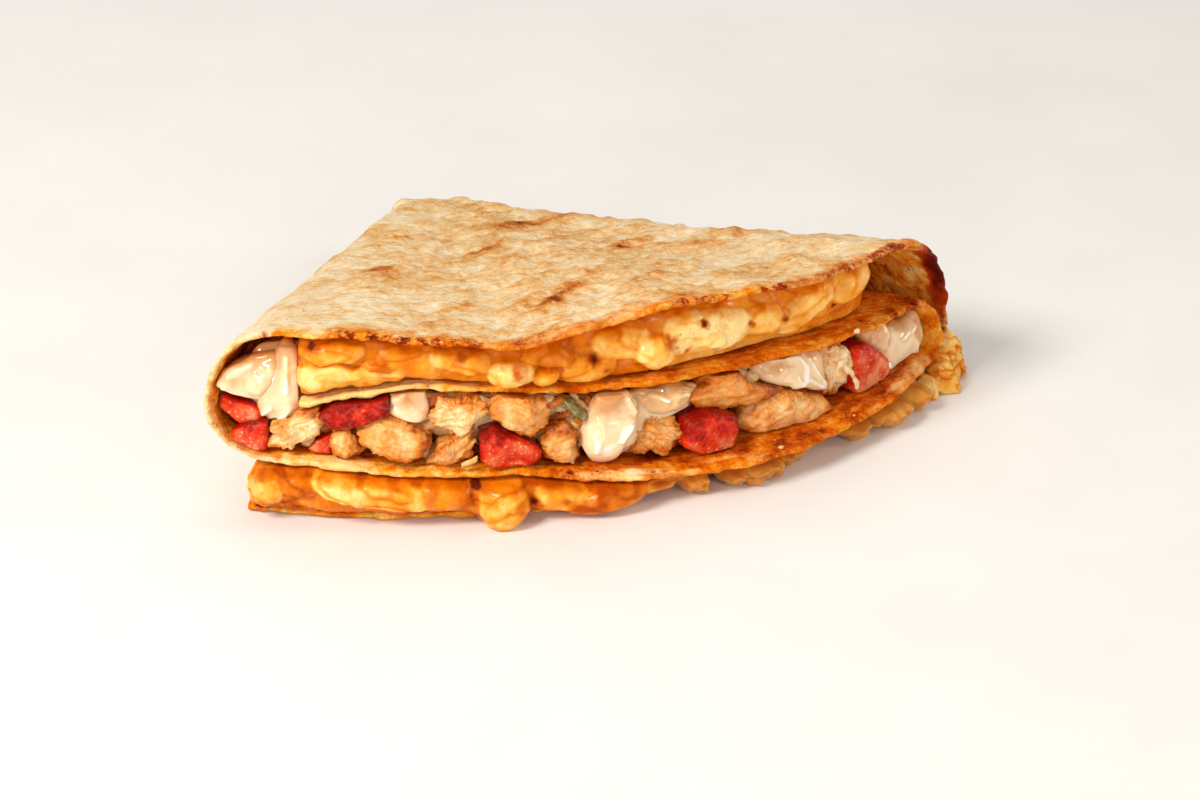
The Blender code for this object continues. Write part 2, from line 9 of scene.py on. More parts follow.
import bpy
import numpy as np
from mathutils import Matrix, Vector


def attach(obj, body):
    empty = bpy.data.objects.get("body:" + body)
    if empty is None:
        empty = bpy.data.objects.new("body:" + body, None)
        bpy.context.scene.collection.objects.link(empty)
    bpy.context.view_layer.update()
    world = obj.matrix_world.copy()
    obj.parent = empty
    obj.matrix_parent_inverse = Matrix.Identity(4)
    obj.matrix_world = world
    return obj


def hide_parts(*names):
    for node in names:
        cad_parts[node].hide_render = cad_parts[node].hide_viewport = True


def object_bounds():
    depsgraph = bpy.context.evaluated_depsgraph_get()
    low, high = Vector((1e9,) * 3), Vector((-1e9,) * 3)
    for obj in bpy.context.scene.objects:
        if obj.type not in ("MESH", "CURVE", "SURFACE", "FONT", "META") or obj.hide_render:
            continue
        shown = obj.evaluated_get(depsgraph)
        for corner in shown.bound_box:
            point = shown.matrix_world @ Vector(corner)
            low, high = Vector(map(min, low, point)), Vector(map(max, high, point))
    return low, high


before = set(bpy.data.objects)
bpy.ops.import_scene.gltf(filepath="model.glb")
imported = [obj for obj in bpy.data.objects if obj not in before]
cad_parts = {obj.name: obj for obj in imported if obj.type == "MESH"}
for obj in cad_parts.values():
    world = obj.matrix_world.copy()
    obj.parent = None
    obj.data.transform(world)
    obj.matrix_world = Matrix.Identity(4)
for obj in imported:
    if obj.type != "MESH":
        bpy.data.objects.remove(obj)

CAD_LOW, CAD_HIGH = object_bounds()

MM = 0.001

# Driving dimensions of the solids: the sheet's radius and thickness, the gap between food and sheet, and the
# place of the tip
RADIUS = 125.0
SHEET = 2.2
HALF = SHEET / 2
GAP = 0.35
TIP = (-2.87, 67.14)
# Height of each layer's middle at the tip and, by angle, at the front
TIP_HEIGHT = {1: 13.7, 2: 9.4, 3: 5.1, 4: HALF}
FRONT_HEIGHT = {
    1: [(-33, 40.4), (-26, 40.9), (-18, 39.3), (-11, 37.6), (-4, 39.4), (4, 40.8), (12, 39.6), (20, 37.4),
        (27, 36.8), (30, 36.8), (33, 35.2)],
    2: [(-31, 24.6), (-26, 27.2), (-21, 28.8), (-13, 27.0), (-4, 25.1), (5, 24.2), (14, 23.3), (24, 21.2),
        (35, 19.4)],
    3: [(-36, 11.8), (-30, 12.0), (-23, 10.8), (-12, 9.9), (-4, 7.8), (5, 6.4), (20, 6.2), (35, 7.6)],
    4: [(-36, HALF), (35, HALF)],
}
# How far each layer reaches from the tip, by angle
RIM = {
    1: [(-33, 125.0), (-12, 126.5), (4, 124.0), (20, 125.0), (33, 126.0)],
    2: [(-31, 124.0), (-14, 121.0), (8, 123.5), (35, 125.0)],
    3: [(-33, 125.0), (-10, 125.5), (0, 130.0), (12, 133.5), (24, 132.5), (35, 130.0)],
    4: [(-36, 124.5), (-10, 125.0), (5, 122.0), (35, 123.0)],
}
# How layer 1 climbs from the tip, by angle: 1 is a straight line and more is a hollow one
CLIMB = [(-10, 1.0), (28, 1.35)]
# The low dome on layer 1: height, radius of its middle, spread along the radius and half width in degrees
CROWN, CROWN_RADIUS, CROWN_SPREAD, CROWN_ANGLE = 1.4, 92.0, 30.0, 22.0
# Where the folds start, and where layers 2 and 4 end at the sheet's slit
LEFT_FOLD, INNER_FOLD, OUTER_FOLD = -33.0, 35.0, 32.5
SLIT_TOP, SLIT_BOTTOM = -31.0, -36.0
# The tip: the radius where it starts to close, where it ends, and how far layers 2 and 3 stay behind there
TIP_RADIUS = 12.0
TIP_END = (0.8, -3.0, 7.4)
TIP_NESTING = 2.6
NESTED = {1: 0.0, 2: 1.0, 3: 1.0, 4: 0.0}


def smooth(points, x):
    """A curve through the points with rounded turns, level past its ends."""
    xs, ys = np.array(points, float).T
    x = np.asarray(x, float)
    i = np.clip(np.searchsorted(xs, x, side="right") - 1, 0, len(xs) - 2)
    t = np.clip((x - xs[i]) / (xs[i + 1] - xs[i]), 0, 1)
    return ys[i] + (ys[i + 1] - ys[i]) * t * t * (3 - 2 * t)


def soft_step(x, low, high):
    """0 below low, 1 above high and smooth between them."""
    t = np.clip((x - low) / (high - low), 0, 1)
    return t * t * (3 - 2 * t)


def bell(x, width=1.0):
    """1 at 0, falling to nothing within a few widths on both sides."""
    return np.exp(-((x / width) ** 2))


def between(start, end, share):
    """The value at this share of the way from start to end."""
    return start + (end - start) * share


def turned(x, y, angle):
    """Two coordinates along axes that are turned by an angle in radians."""
    cos, sin = math.cos(angle), math.sin(angle)
    return x * cos + y * sin, y * cos - x * sin


def height(layer, angle, radius):
    """Middle height of a layer of the sheet."""
    share = (radius / RADIUS) ** (smooth(CLIMB, angle) if layer == 1 else 1.0)
    z = between(TIP_HEIGHT[layer], smooth(FRONT_HEIGHT[layer], angle), share)
    if layer == 1:
        away = ((radius - CROWN_RADIUS) / CROWN_SPREAD) ** 2 + (angle / CROWN_ANGLE) ** 2
        z = z + CROWN * np.exp(-away)
    return z


class Fold:
    """A turn of the sheet: the angle where it starts, its side, the lower and upper layer that it joins,
    how far it bulges and the share of its height where it is widest, both at the tip and at the front, and
    how square it is above and below there."""

    def __init__(self, angle, side, low, high, bulges, waists, above=2.0, below=2.0):
        self.angle, self.side, self.low, self.high = angle, side, low, high
        self.bulges, self.waists = bulges, waists
        self.above, self.below = above, below

    def heights(self, radius):
        """Lowest, widest and highest height of the fold's middle."""
        low = height(self.low, self.angle, radius)
        high = height(self.high, self.angle, radius)
        waist = self.waists[0] + (self.waists[1] - self.waists[0]) * radius / RADIUS
        return low, between(low, high, waist), high

    def reach(self, radius):
        """How far the fold's middle bulges."""
        return np.hypot(self.bulges[0], self.bulges[1] * radius / RADIUS)

    def middle(self, radius, turn):
        """Sideways bulge and height of the fold's middle, from -90 degrees at its foot to 90 at its top."""
        low, wide, high = self.heights(radius)
        square = np.where(turn > 0, 2 / self.above, 2 / self.below)
        span = np.where(turn > 0, high - wide, wide - low)
        out = np.abs(np.cos(np.radians(turn))) ** square
        up = np.abs(np.sin(np.radians(turn))) ** square
        return self.side * self.reach(radius) * out, wide + np.sign(turn) * span * up


FOLDS = {
    "left": Fold(LEFT_FOLD, -1, 3, 1, (2.6, 14.2), (0.45, 0.38)),
    "inner": Fold(INNER_FOLD, 1, 3, 2, (1.9, 7.2), (0.5, 0.45)),
    "outer": Fold(OUTER_FOLD, 1, 4, 1, (5.2, 19.4), (0.5, 0.26), above=1.7, below=2.2),
}


def at(angle, radius, z, side=0.0):
    """Points at an angle and radius from the tip, moved sideways from that radial line."""
    a = np.radians(angle)
    x = radius * np.sin(a) + side * np.cos(a) + TIP[0]
    y = -radius * np.cos(a) + side * np.sin(a) + TIP[1]
    return np.stack(np.broadcast_arrays(x, y, z), -1)


# Large odd numbers that scatter a cell's place and the seed, and the largest number that is left
SPREAD_X, SPREAD_Y, SPREAD_Z = 374761393, 668265263, 1440662683
SPREAD_SEED, SPREAD_AGAIN = 974634777, 1274126177
LARGEST = 0xFFFFFF


def hashed(cell, seed):
    """A repeatable number from 0 to 1 for each whole-numbered cell."""
    h = cell[..., 0] * SPREAD_X + cell[..., 1] * SPREAD_Y + cell[..., 2] * SPREAD_Z + seed * SPREAD_SEED
    h = (h ^ (h >> 13)) * SPREAD_AGAIN
    h = h ^ (h >> 16)
    return (h & LARGEST) / float(LARGEST)


def ripple(points, seed):
    """Smooth gradient noise from about -1 to 1 with features one unit across."""
    base = np.floor(points).astype(np.int64)
    f = points - base
    u = f * f * f * (f * (f * 6 - 15) + 10)
    total = 0.0
    for corner in range(8):
        step = np.array([corner & 1, corner >> 1 & 1, corner >> 2 & 1])
        cell = base + step
        turn = hashed(cell, seed) * 2 * math.pi
        lift = hashed(cell, seed + 77) * 2 - 1
        flat = np.sqrt(1 - lift * lift)
        d = f - step
        dot = d[..., 0] * flat * np.cos(turn) + d[..., 1] * flat * np.sin(turn) + d[..., 2] * lift
        weight = 1.0
        for k in range(3):
            weight = weight * (u[..., k] if step[k] else 1 - u[..., k])
        total = total + weight * dot
    return total * 1.7


# How much finer and how much weaker each further size of noise is
FINER, WEAKER = 2.03, 0.5


def rough(points, size, octaves, seed):
    """Noise of several sizes, the largest in millimetres."""
    total, weight = 0.0, 1.0
    for k in range(octaves):
        total = total + weight * ripple(points * (FINER**k / size), seed + 31 * k)
        weight *= WEAKER
    return total


def cells(points, size, seed):
    """Distances to the nearest and the second nearest of scattered centres about one size apart, in sizes."""
    p = points / size
    base = np.floor(p).astype(np.int64)
    near = np.full(p.shape[:-1], np.inf)
    second = near.copy()
    for i in range(27):
        cell = base + np.array([i % 3 - 1, i // 3 % 3 - 1, i // 9 - 1])
        centre = np.stack([hashed(cell, seed + 5 * k) for k in range(3)], -1) + cell
        away = np.linalg.norm(p - centre, axis=-1)
        second = np.minimum(second, np.maximum(near, away))
        near = np.minimum(near, away)
    return near, second


# How far every piece stays inside the solids' own box, in millimetres
HAIR = 0.02


def inside_box(points):
    """The points kept inside the solids' own box, a hair clear of it except at the ground."""
    low = np.array(CAD_LOW) / MM + (HAIR, HAIR, 0.0)
    high = np.array(CAD_HIGH) / MM - HAIR
    return np.clip(points, low, high)


def new_object(name, data):
    """An object with this data, in the scene."""
    obj = bpy.data.objects.new(name, data)
    bpy.context.scene.collection.objects.link(obj)
    return obj


def new_piece(name, points, faces, material, stands_for=(), values=None):
    """A smooth-shaded piece from points in millimetres, with a number for each point under each name."""
    data = bpy.data.meshes.new(name)
    data.from_pydata((inside_box(points) * MM).tolist(), [], faces)
    for key, numbers in (values or {}).items():
        layer = data.attributes.new(key, "FLOAT", "POINT")
        layer.data.foreach_set("value", np.ascontiguousarray(numbers, np.float32).ravel())
    data.materials.append(material)
    data.shade_smooth()
    obj = new_object(name, data)
    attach(obj, "root")
    if stands_for:
        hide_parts(*stands_for)


class Graph:
    """A short way to write a material. Sizes of its noise and depths of its relief are in millimetres."""

    def __init__(self, name):
        self.material = bpy.data.materials.new(name)
        self.material.use_nodes = True
        self.nodes = self.material.node_tree.nodes
        self.links = self.material.node_tree.links
        self.shader = self.nodes["Principled BSDF"]
        self.place = self.nodes.new("ShaderNodeTexCoord").outputs["Object"]

    def node(self, kind, inputs, **settings):
        made = self.nodes.new("ShaderNode" + kind)
        for key, value in settings.items():
            setattr(made, key, value)
        for key, value in inputs.items():
            self.put(made.inputs[key], value)
        return made

    def put(self, socket, value):
        if isinstance(value, bpy.types.NodeSocket):
            self.links.new(value, socket)
        elif isinstance(value, tuple) and len(value) == 3 and socket.type == "RGBA":
            socket.default_value = (*value, 1.0)
        else:
            socket.default_value = value

    def finish(self, **sockets):
        for key, value in sockets.items():
            self.put(self.shader.inputs[key.replace("_", " ")], value)
        return self.material

    def number(self, key):
        """The number that each point of the piece carries under this name."""
        return self.node("Attribute", {}, attribute_name=key, attribute_type="GEOMETRY").outputs["Fac"]

    def math(self, operation, a, b, clamp=False):
        return self.node("Math", {0: a, 1: b}, operation=operation, use_clamp=clamp).outputs[0]

    def add(self, a, b, clamp=False):
        return self.math("ADD", a, b, clamp)

    def times(self, a, b):
        return self.math("MULTIPLY", a, b)

    def vary(self, value, noise, amount, low=0.3, high=0.7, clamp=False):
        """The value with up to this amount taken off or added where a noise is low or high."""
        return self.add(value, self.span(noise, low, high, -amount, amount), clamp)

    def noise(self, size, detail=3.0, roughness=0.55, bent=0.0, place=None):
        inputs = {
            "Vector": place or self.place,
            "Scale": 1 / (size * MM),
            "Detail": detail,
            "Roughness": roughness,
            "Distortion": bent,
        }
        return self.node("TexNoise", inputs).outputs["Fac"]

    def spots(self, size):
        """Distance from scattered centres about one size apart."""
        inputs = {"Vector": self.place, "Scale": 1 / (size * MM)}
        return self.node("TexVoronoi", inputs).outputs["Distance"]

    def span(self, value, low, high, to_low=0.0, to_high=1.0):
        """The value's range from low to high brought to another range, with nothing beyond it."""
        inputs = {"Value": value, "From Min": low, "From Max": high, "To Min": to_low, "To Max": to_high}
        return self.node("MapRange", inputs, interpolation_type="SMOOTHSTEP").outputs["Result"]

    def ramp(self, value, stops):
        """Colours along the value, each stop as its place and an sRGB colour of 0 to 255."""
        made = self.node("ValToRGB", {"Fac": value})
        band = made.color_ramp
        while len(band.elements) < len(stops):
            band.elements.new(0.5)
        for element, (where, colour) in zip(band.elements, stops):
            element.position = where
            element.color = (*tint(*colour), 1.0)
        return made.outputs["Color"]

    def mix(self, share, a, b):
        """Two colours mixed. The sockets go by number, because several have the same name."""
        return self.node("Mix", {0: share, 6: a, 7: b}, data_type="RGBA").outputs[2]

    def bump(self, value, depth, after=None):
        """Relief of this depth in millimetres, on top of an earlier relief."""
        inputs = {"Height": value, "Distance": depth * MM}
        if after is not None:
            inputs["Normal"] = after
        return self.node("Bump", inputs).outputs["Normal"]


def tint(red, green, blue):
    """A linear colour from an sRGB one of 0 to 255."""
    out = []
    for c in (red, green, blue):
        c /= 255
        out.append(c / 12.92 if c <= 0.04045 else ((c + 0.055) / 1.055) ** 2.4)
    return tuple(out)


# The sheet's fine grid. Its stretches from one side of the slit to the other: name, where it starts and
# ends as an angle or a fold's turn, and its columns
LAST = 4
STRETCHES = [
    (2, SLIT_TOP, INNER_FOLD, 150),
    ("inner", 90, -90, 26),
    (3, INNER_FOLD, LEFT_FOLD, 150),
    ("left", -90, 90, 76),
    (1, LEFT_FOLD, OUTER_FOLD, 284),
    ("outer", 90, -90, 62),
    (LAST, OUTER_FOLD, SLIT_BOTTOM, 101),
]
# Rows from the rim to the tip, rows that close the tip and the share of its radius that is left open, how
# far the rounded rim stands out, and the turns of its own rows
BODY_ROWS, TIP_ROWS, TIP_LAST = 226, 14, 0.16
RIM_ROUND, RIM_TURNS = 0.75, (67, 45, 22, 0, -22, -45, -67)
# Rows that stay fine along every rim, the rows half way in and near the tip, and how many rows and columns
# join into one face from each row on, where the sheet shows and where it is hidden
RIM_ROWS, HALF_WAY, NEAR_TIP = 13, 112, 170
SHOWN_BANDS = [(0, 1, 1), (HALF_WAY, 1, 2), (NEAR_TIP, 2, 4), (BODY_ROWS, 1, 8)]
PARTLY_BANDS = [(0, 1, 1), (RIM_ROWS, 2, 2), (HALF_WAY, 4, 4), (BODY_ROWS, 2, 8)]
HIDDEN_BANDS = [(0, 1, 1), (RIM_ROWS, 12, 6), (BODY_ROWS, 3, 12)]
# The bands of each stretch on its outer and on its inner side
BANDS = {
    1: (SHOWN_BANDS, HIDDEN_BANDS),
    "left": (SHOWN_BANDS, HIDDEN_BANDS),
    "outer": (PARTLY_BANDS, PARTLY_BANDS),
}


class Sheet:
    """The tortilla's fine grid: for each column its stretch, angle, turn and rim, and for each point of the
    middle surface its radius, its distance from the rim and its place."""

    def __init__(self):
        self.stretch, self.angle, self.turn, self.rim, self.nested = [], [], [], [], []
        for name, start, end, count in STRETCHES:
            for value in np.linspace(start, end, count, endpoint=name == LAST):
                self.add_column(name, value)
        self.angle, self.turn = np.array(self.angle), np.array(self.turn)
        self.rim, self.nested = np.array(self.rim), np.array(self.nested)
        self.stretch = np.array([str(name) for name in self.stretch])
        self.place_points()

    def add_column(self, name, value):
        self.stretch.append(name)
        if name in FOLDS:
            fold = FOLDS[name]
            rise = (1 + math.sin(math.radians(value))) / 2
            rims = smooth(RIM[fold.low], fold.angle), smooth(RIM[fold.high], fold.angle)
            self.angle.append(fold.angle)
            self.turn.append(value)
            self.rim.append(between(*rims, rise))
            self.nested.append(between(NESTED[fold.low], NESTED[fold.high], rise))
        else:
            self.angle.append(value)
            self.turn.append(0.0)
            self.rim.append(float(smooth(RIM[name], value)))
            self.nested.append(NESTED[name])

    def middle_at(self, radius):
        """The middle surface at these radii, one for each row and column."""
        points = np.zeros((*radius.shape, 3))
        for name, *_ in STRETCHES:
            here = self.stretch == str(name)
            r, a = radius[:, here], self.angle[here]
            if name in FOLDS:
                side, z = FOLDS[name].middle(r, self.turn[here])
                points[:, here] = at(a, r, z, side)
            else:
                points[:, here] = at(a, r, height(name, a, r))
        return points

    def place_points(self):
        columns = len(self.rim)
        front = self.middle_at(self.rim[None, :])[0]
        ragged = 0.5 * rough(front, 9.0, 2, 401) + 0.28 * rough(front, 2.2, 2, 402)
        rim = self.rim - RIM_ROUND + np.clip(ragged, -1.1, 0.7)
        share = np.linspace(1, 0, BODY_ROWS)[:, None]
        body = between(TIP_RADIUS, rim, share)
        turns = np.linspace(0, math.acos(TIP_LAST), TIP_ROWS + 1)[1:]
        start = self.middle_at(np.full((1, columns), TIP_RADIUS))
        end = np.array(TIP_END) + (*TIP, 0.0)
        closing = start.repeat(TIP_ROWS, 0)
        cos, sin = np.cos(turns)[:, None], np.sin(turns)[:, None]
        depth = end[1] - TIP_NESTING * self.nested - closing[..., 1]
        closing[..., 0] = between(end[0], closing[..., 0], cos)
        closing[..., 2] = between(end[2], closing[..., 2], cos)
        closing[..., 1] += depth * sin
        self.radius = np.concatenate([body, np.full((TIP_ROWS, columns), TIP_RADIUS) * cos])
        self.from_rim = rim - self.radius
        self.middle = np.concatenate([self.middle_at(body), closing])
        self.half = np.concatenate([np.full(BODY_ROWS, HALF), HALF * np.cos(turns) * (1 + np.cos(turns)) / 2])
        along = np.gradient(self.middle, axis=1)
        inward = np.gradient(self.middle, axis=0)
        normal = np.cross(along, inward)
        self.normal = normal / np.linalg.norm(normal, axis=2, keepdims=True)
        self.outward = -inward[0] / np.linalg.norm(inward[0], axis=1, keepdims=True)

    def on(self, name):
        """1 for the columns of a stretch, 0 elsewhere."""
        return (self.stretch == str(name)).astype(float)


def block_faces(sheet, side):
    """The joined blocks of one side of the sheet: first and last row and column of each."""
    rows = sheet.middle.shape[0]
    blocks = []
    first = 0
    for name, _, _, count in STRETCHES:
        last = first + count - (name == LAST)
        bands = BANDS.get(name, (HIDDEN_BANDS, HIDDEN_BANDS))[side]
        ends = [band[0] for band in bands[1:]] + [rows - 1]
        for (start, tall, wide), end in zip(bands, ends):
            for r in range(start, end, tall):
                for c in range(first, last, wide):
                    blocks.append((r, min(r + tall, end), c, min(c + wide, last)))
        first = last
    return blocks


def outline(block, used):
    """The used grid points round a block, in order."""
    top, bottom, left, right = block
    if bottom - top == 1 and right - left == 1:
        return [(top, left), (top, right), (bottom, right), (bottom, left)]
    ring = [(top, c) for c in range(left, right)]
    ring += [(r, right) for r in range(top, bottom)]
    ring += [(bottom, c) for c in range(right, left, -1)]
    ring += [(r, left) for r in range(bottom, top, -1)]
    return [p for p in ring if used[p]]


def used_points(blocks, shape):
    """Marks for the grid points that are corners of the blocks."""
    marks = np.zeros(shape, bool)
    corners = np.array(blocks)
    for r in (0, 1):
        for c in (2, 3):
            marks[corners[:, r], corners[:, c]] = True
    return marks


def sheet_mesh(sheet, outer, inner, rim_points):
    """Joins the outer and inner side and the rounded rim into one closed surface."""
    rows, columns, _ = outer.shape
    blocks = block_faces(sheet, 0), block_faces(sheet, 1)
    used = [used_points(side, (rows, columns)) for side in blocks]
    for edge in (np.s_[:, 0], np.s_[:, -1], np.s_[-1, :], np.s_[0, :]):
        used[0][edge] |= used[1][edge]
        used[1][edge] |= used[0][edge]
    base = [0, used[0].sum(), used[0].sum() + used[1].sum()]
    number = [np.full((rows, columns), -1), np.full((rows, columns), -1)]
    for side in (0, 1):
        number[side][used[side]] = np.arange(used[side].sum()) + base[side]
    turns = rim_points.shape[0]
    rim = base[2] + np.arange(turns * columns).reshape(turns, columns)
    points = np.concatenate([outer[used[0]], inner[used[1]], rim_points.reshape(-1, 3)])
    faces = [[int(number[0][p]) for p in outline(block, used[0])] for block in blocks[0]]
    faces += [[int(number[1][p]) for p in reversed(outline(block, used[1]))] for block in blocks[1]]
    strip = np.vstack([number[0][0], rim, number[1][0]])
    a, b, c, d = strip[:-1, :-1], strip[:-1, 1:], strip[1:, 1:], strip[1:, :-1]
    faces += np.stack([d, c, b, a], -1).reshape(-1, 4).tolist()
    for column, way in ((0, 1), (columns - 1, -1)):
        shared = np.flatnonzero(used[0][:, column])
        for r0, r1 in zip(shared[:-1], shared[1:]):
            ring = [number[side][r, column] for side, r in ((0, r0), (0, r1), (1, r1), (1, r0))]
            if r0 == 0:
                ring += rim[::-1, column].tolist()
            faces.append([int(i) for i in ring[::way]])
    shared = np.flatnonzero(used[0][-1])
    for c0, c1 in zip(shared[:-1], shared[1:]):
        ring = [number[side][-1, c] for side, c in ((0, c0), (0, c1), (1, c1), (1, c0))]
        faces.append([int(i) for i in ring])
    return points, faces, used


# The camera: the middle of its view and its distance in millimetres, its direction in degrees, and its lens
VIEW_TARGET = (6.83, -15.36, 0.0)
VIEW_AZIMUTH, VIEW_ELEVATION, VIEW_DISTANCE, VIEW_LENS = -22.0, 27.5, 977.0, 140.7


def direction(azimuth, elevation):
    """The unit vector towards this azimuth round the object (0 is its front) and elevation."""
    a, e = math.radians(azimuth), math.radians(elevation)
    return Vector((math.sin(a) * math.cos(e), -math.cos(a) * math.cos(e), math.sin(e)))


# The photo's frame in pixels and the sensor's width in millimetres
PHOTO_SIZE = (1200, 800)
SENSOR = 36.0


def on_front(pixels, radius):
    """Angle and height where the view through each of the photo's pixels meets the upright round surface of
    this radius."""
    back = np.array(direction(VIEW_AZIMUTH, VIEW_ELEVATION))
    right = np.array(direction(VIEW_AZIMUTH + 90, 0.0))
    up = np.cross(back, right)
    eye = np.array(VIEW_TARGET) + back * VIEW_DISTANCE
    per_pixel = SENSOR / VIEW_LENS / PHOTO_SIZE[0]
    pixels = np.array(pixels, float)
    u = (pixels[:, :1] - PHOTO_SIZE[0] / 2) * per_pixel
    v = (PHOTO_SIZE[1] / 2 - pixels[:, 1:]) * per_pixel
    ray = right * u + up * v - back
    start = eye[:2] - np.array(TIP)
    a = (ray[:, :2] ** 2).sum(1)
    b = (ray[:, :2] * start).sum(1)
    c = start @ start - radius * radius
    along = (-b - np.sqrt(np.maximum(b * b - a * c, 0))) / a
    hit = eye + ray * along[:, None]
    x, y = hit[:, 0] - TIP[0], hit[:, 1] - TIP[1]
    return np.degrees(np.arctan2(x, -y)), hit[:, 2]


# Brown patches on the top, as their angle, radius, half length along the wrinkles, half width and strength
PATCHES = [
    (17.9, 70.3, 9.0, 5.0, 0.5),
    (-4.1, 104.1, 8.0, 4.0, 0.7),
    (10.2, 38.8, 10.0, 4.0, 0.4),
    (-25.8, 76.3, 5.0, 5.0, 0.45),
    (28.9, 83.8, 14.0, 5.0, 0.3),
    (-16.0, 103.0, 6.0, 3.0, 0.3),
    (39.0, 40.0, 12.0, 5.0, 0.4),
    (8.0, 56.0, 7.0, 3.0, 0.35),
    (-8.0, 60.0, 9.0, 3.0, 0.3),
    (3.0, 92.0, 6.0, 3.0, 0.3),
]
# Puffed blisters near the right of the top: angle, radius, half width and height in millimetres
PUFFS = [(26.5, 108.1, 5.0, 0.9), (23.0, 113.0, 4.0, 0.6), (28.5, 99.0, 5.0, 0.5)]
# About how many millimetres a degree is along the front
DEGREE = 2.18
# How far the wrinkles are turned from left to right, and how far they bend
WRINKLE_TURN = math.radians(26)
WRINKLE_BEND = 2.2


def wrinkle_place(points):
    """Places along and across the top's wrinkles."""
    along, across = turned(points[..., 0], points[..., 1], WRINKLE_TURN)
    bend = WRINKLE_BEND * rough(points, 22.0, 2, 11)
    return along + bend, across + 0.8 * bend


def top_relief(sheet):
    """Height of the wrinkles, puffs and grain on the outer side, and how toasted their tops are."""
    p = sheet.middle
    along, across = wrinkle_place(p)
    z = p[..., 2] * 0.5
    broad = ripple(np.stack([along / 15, across / 5.4, z / 9], -1), 21)
    ridge = ripple(np.stack([along / 8.0, across / 3.1, z / 6], -1), 22)
    crest = 1 - 2 * np.abs(ripple(np.stack([along / 11, across / 4.4, z / 8], -1), 23))
    small = rough(p, 2.4, 2, 24)
    puff = soft_step(rough(p, 9.0, 1, 25), 0.12, 0.62)
    grain = rough(p, 0.95, 2, 26)
    calm = soft_step(p[..., 0], -62, -12) * 0.6 + 0.4
    calm = calm * (0.35 + 0.65 * soft_step(sheet.from_rim, 1.0, 9.0))
    calm = calm * (0.5 + 0.5 * soft_step(sheet.radius, 8, 26))
    relief = calm * (0.36 * broad + 0.54 * ridge + 0.3 * crest + 0.24 * small + 0.45 * puff) + 0.06 * grain
    return relief - 0.45, 0.5 + 0.5 * (0.5 * broad + 0.7 * ridge + 0.3 * crest + 0.35 * small)


def big_puffs(sheet):
    """Height of the puffed blisters."""
    total = 0.0
    for angle, radius, wide, tall in PUFFS:
        away = np.linalg.norm(sheet.middle - at(angle, radius, height(1, angle, radius)), axis=2)
        total = np.maximum(total, tall * bell(away, wide))
    return total * sheet.on(1)


def patches(sheet):
    """Strength of the brown patches on the top and the outer fold."""
    along, across = wrinkle_place(sheet.middle)
    uneven = 1 + 0.8 * rough(sheet.middle, 4.0, 2, 31)
    total = 0.0
    for angle, radius, length, width, strength in PATCHES:
        a0, c0 = wrinkle_place(at(angle, radius, 0.0)[None])
        away = ((along - a0) / length) ** 2 + ((across - c0) / width) ** 2
        total = total + strength * np.exp(-away * 1.3)
    return total * uneven * (sheet.on(1) + sheet.on("outer"))


# Marks on the sheet: pixel in the photo, radius there, half width in millimetres, how burnt and how toasted
MARKS = [
    (241, 355, 124.0, 1.5, 0.8, 0.0), (265, 330, 125.0, 1.4, 0.7, 0.0), (850, 315, 121.5, 1.1, 1.3, 0.0),
    (868, 305, 119.5, 3.0, 0.0, -0.25), (936, 352, 128.0, 4.0, 0.0, -0.2), (851, 416, 130.5, 3.4, 0.5, 0.15),
    (512, 474, 126.5, 2.6, 0.5, 0.1), (345, 332, 125.0, 1.8, 0.8, 0.0), (352, 339, 125.5, 1.2, 0.8, 0.0),
    (374, 340, 125.5, 1.6, 1.0, 0.0), (386, 341, 125.5, 1.6, 1.0, 0.0), (403, 344, 125.5, 1.2, 1.4, 0.0),
    (424, 343, 125.5, 1.3, 1.3, 0.0), (437, 347, 125.5, 1.4, 1.2, 0.0), (476, 342, 126.0, 1.8, 0.8, 0.0),
    (457, 350, 125.5, 1.5, 0.8, 0.0), (520, 352, 125.5, 2.0, 0.6, 0.1),
    (905, 309, 122.5, 3.0, 0.9, 0.2), (914, 306, 125.0, 2.6, 0.9, 0.2), (888, 318, 123.0, 1.8, 0.8, 0.1),
    (862, 326, 122.5, 1.2, 0.9, 0.0),
    (340, 458, 125.5, 5.0, 0.0, -0.1), (470, 474, 126.0, 5.0, 0.0, -0.2), (630, 474, 130.0, 4.0, 0.0, -0.3),
    (578, 479, 129.0, 2.2, 0.5, 0.1), (430, 342, 126.5, 1.6, 0.7, 0.0), (392, 334, 126.0, 1.8, 0.6, 0.0),
]


def marked(points):
    """How burnt and how toasted the marks leave each point."""
    burnt, toasted = 0.0, 0.0
    uneven = 1 + 0.4 * rough(points, 2.5, 2, 71)
    for u, v, radius, half, burn, toast in MARKS:
        angle, z = on_front([(u, v)], radius)
        away = np.linalg.norm(points - at(angle[0], radius, z[0]), axis=-1) / half
        fade = bell(away * uneven)
        burnt, toasted = np.maximum(burnt, burn * fade), toasted + toast * fade
    return burnt, toasted


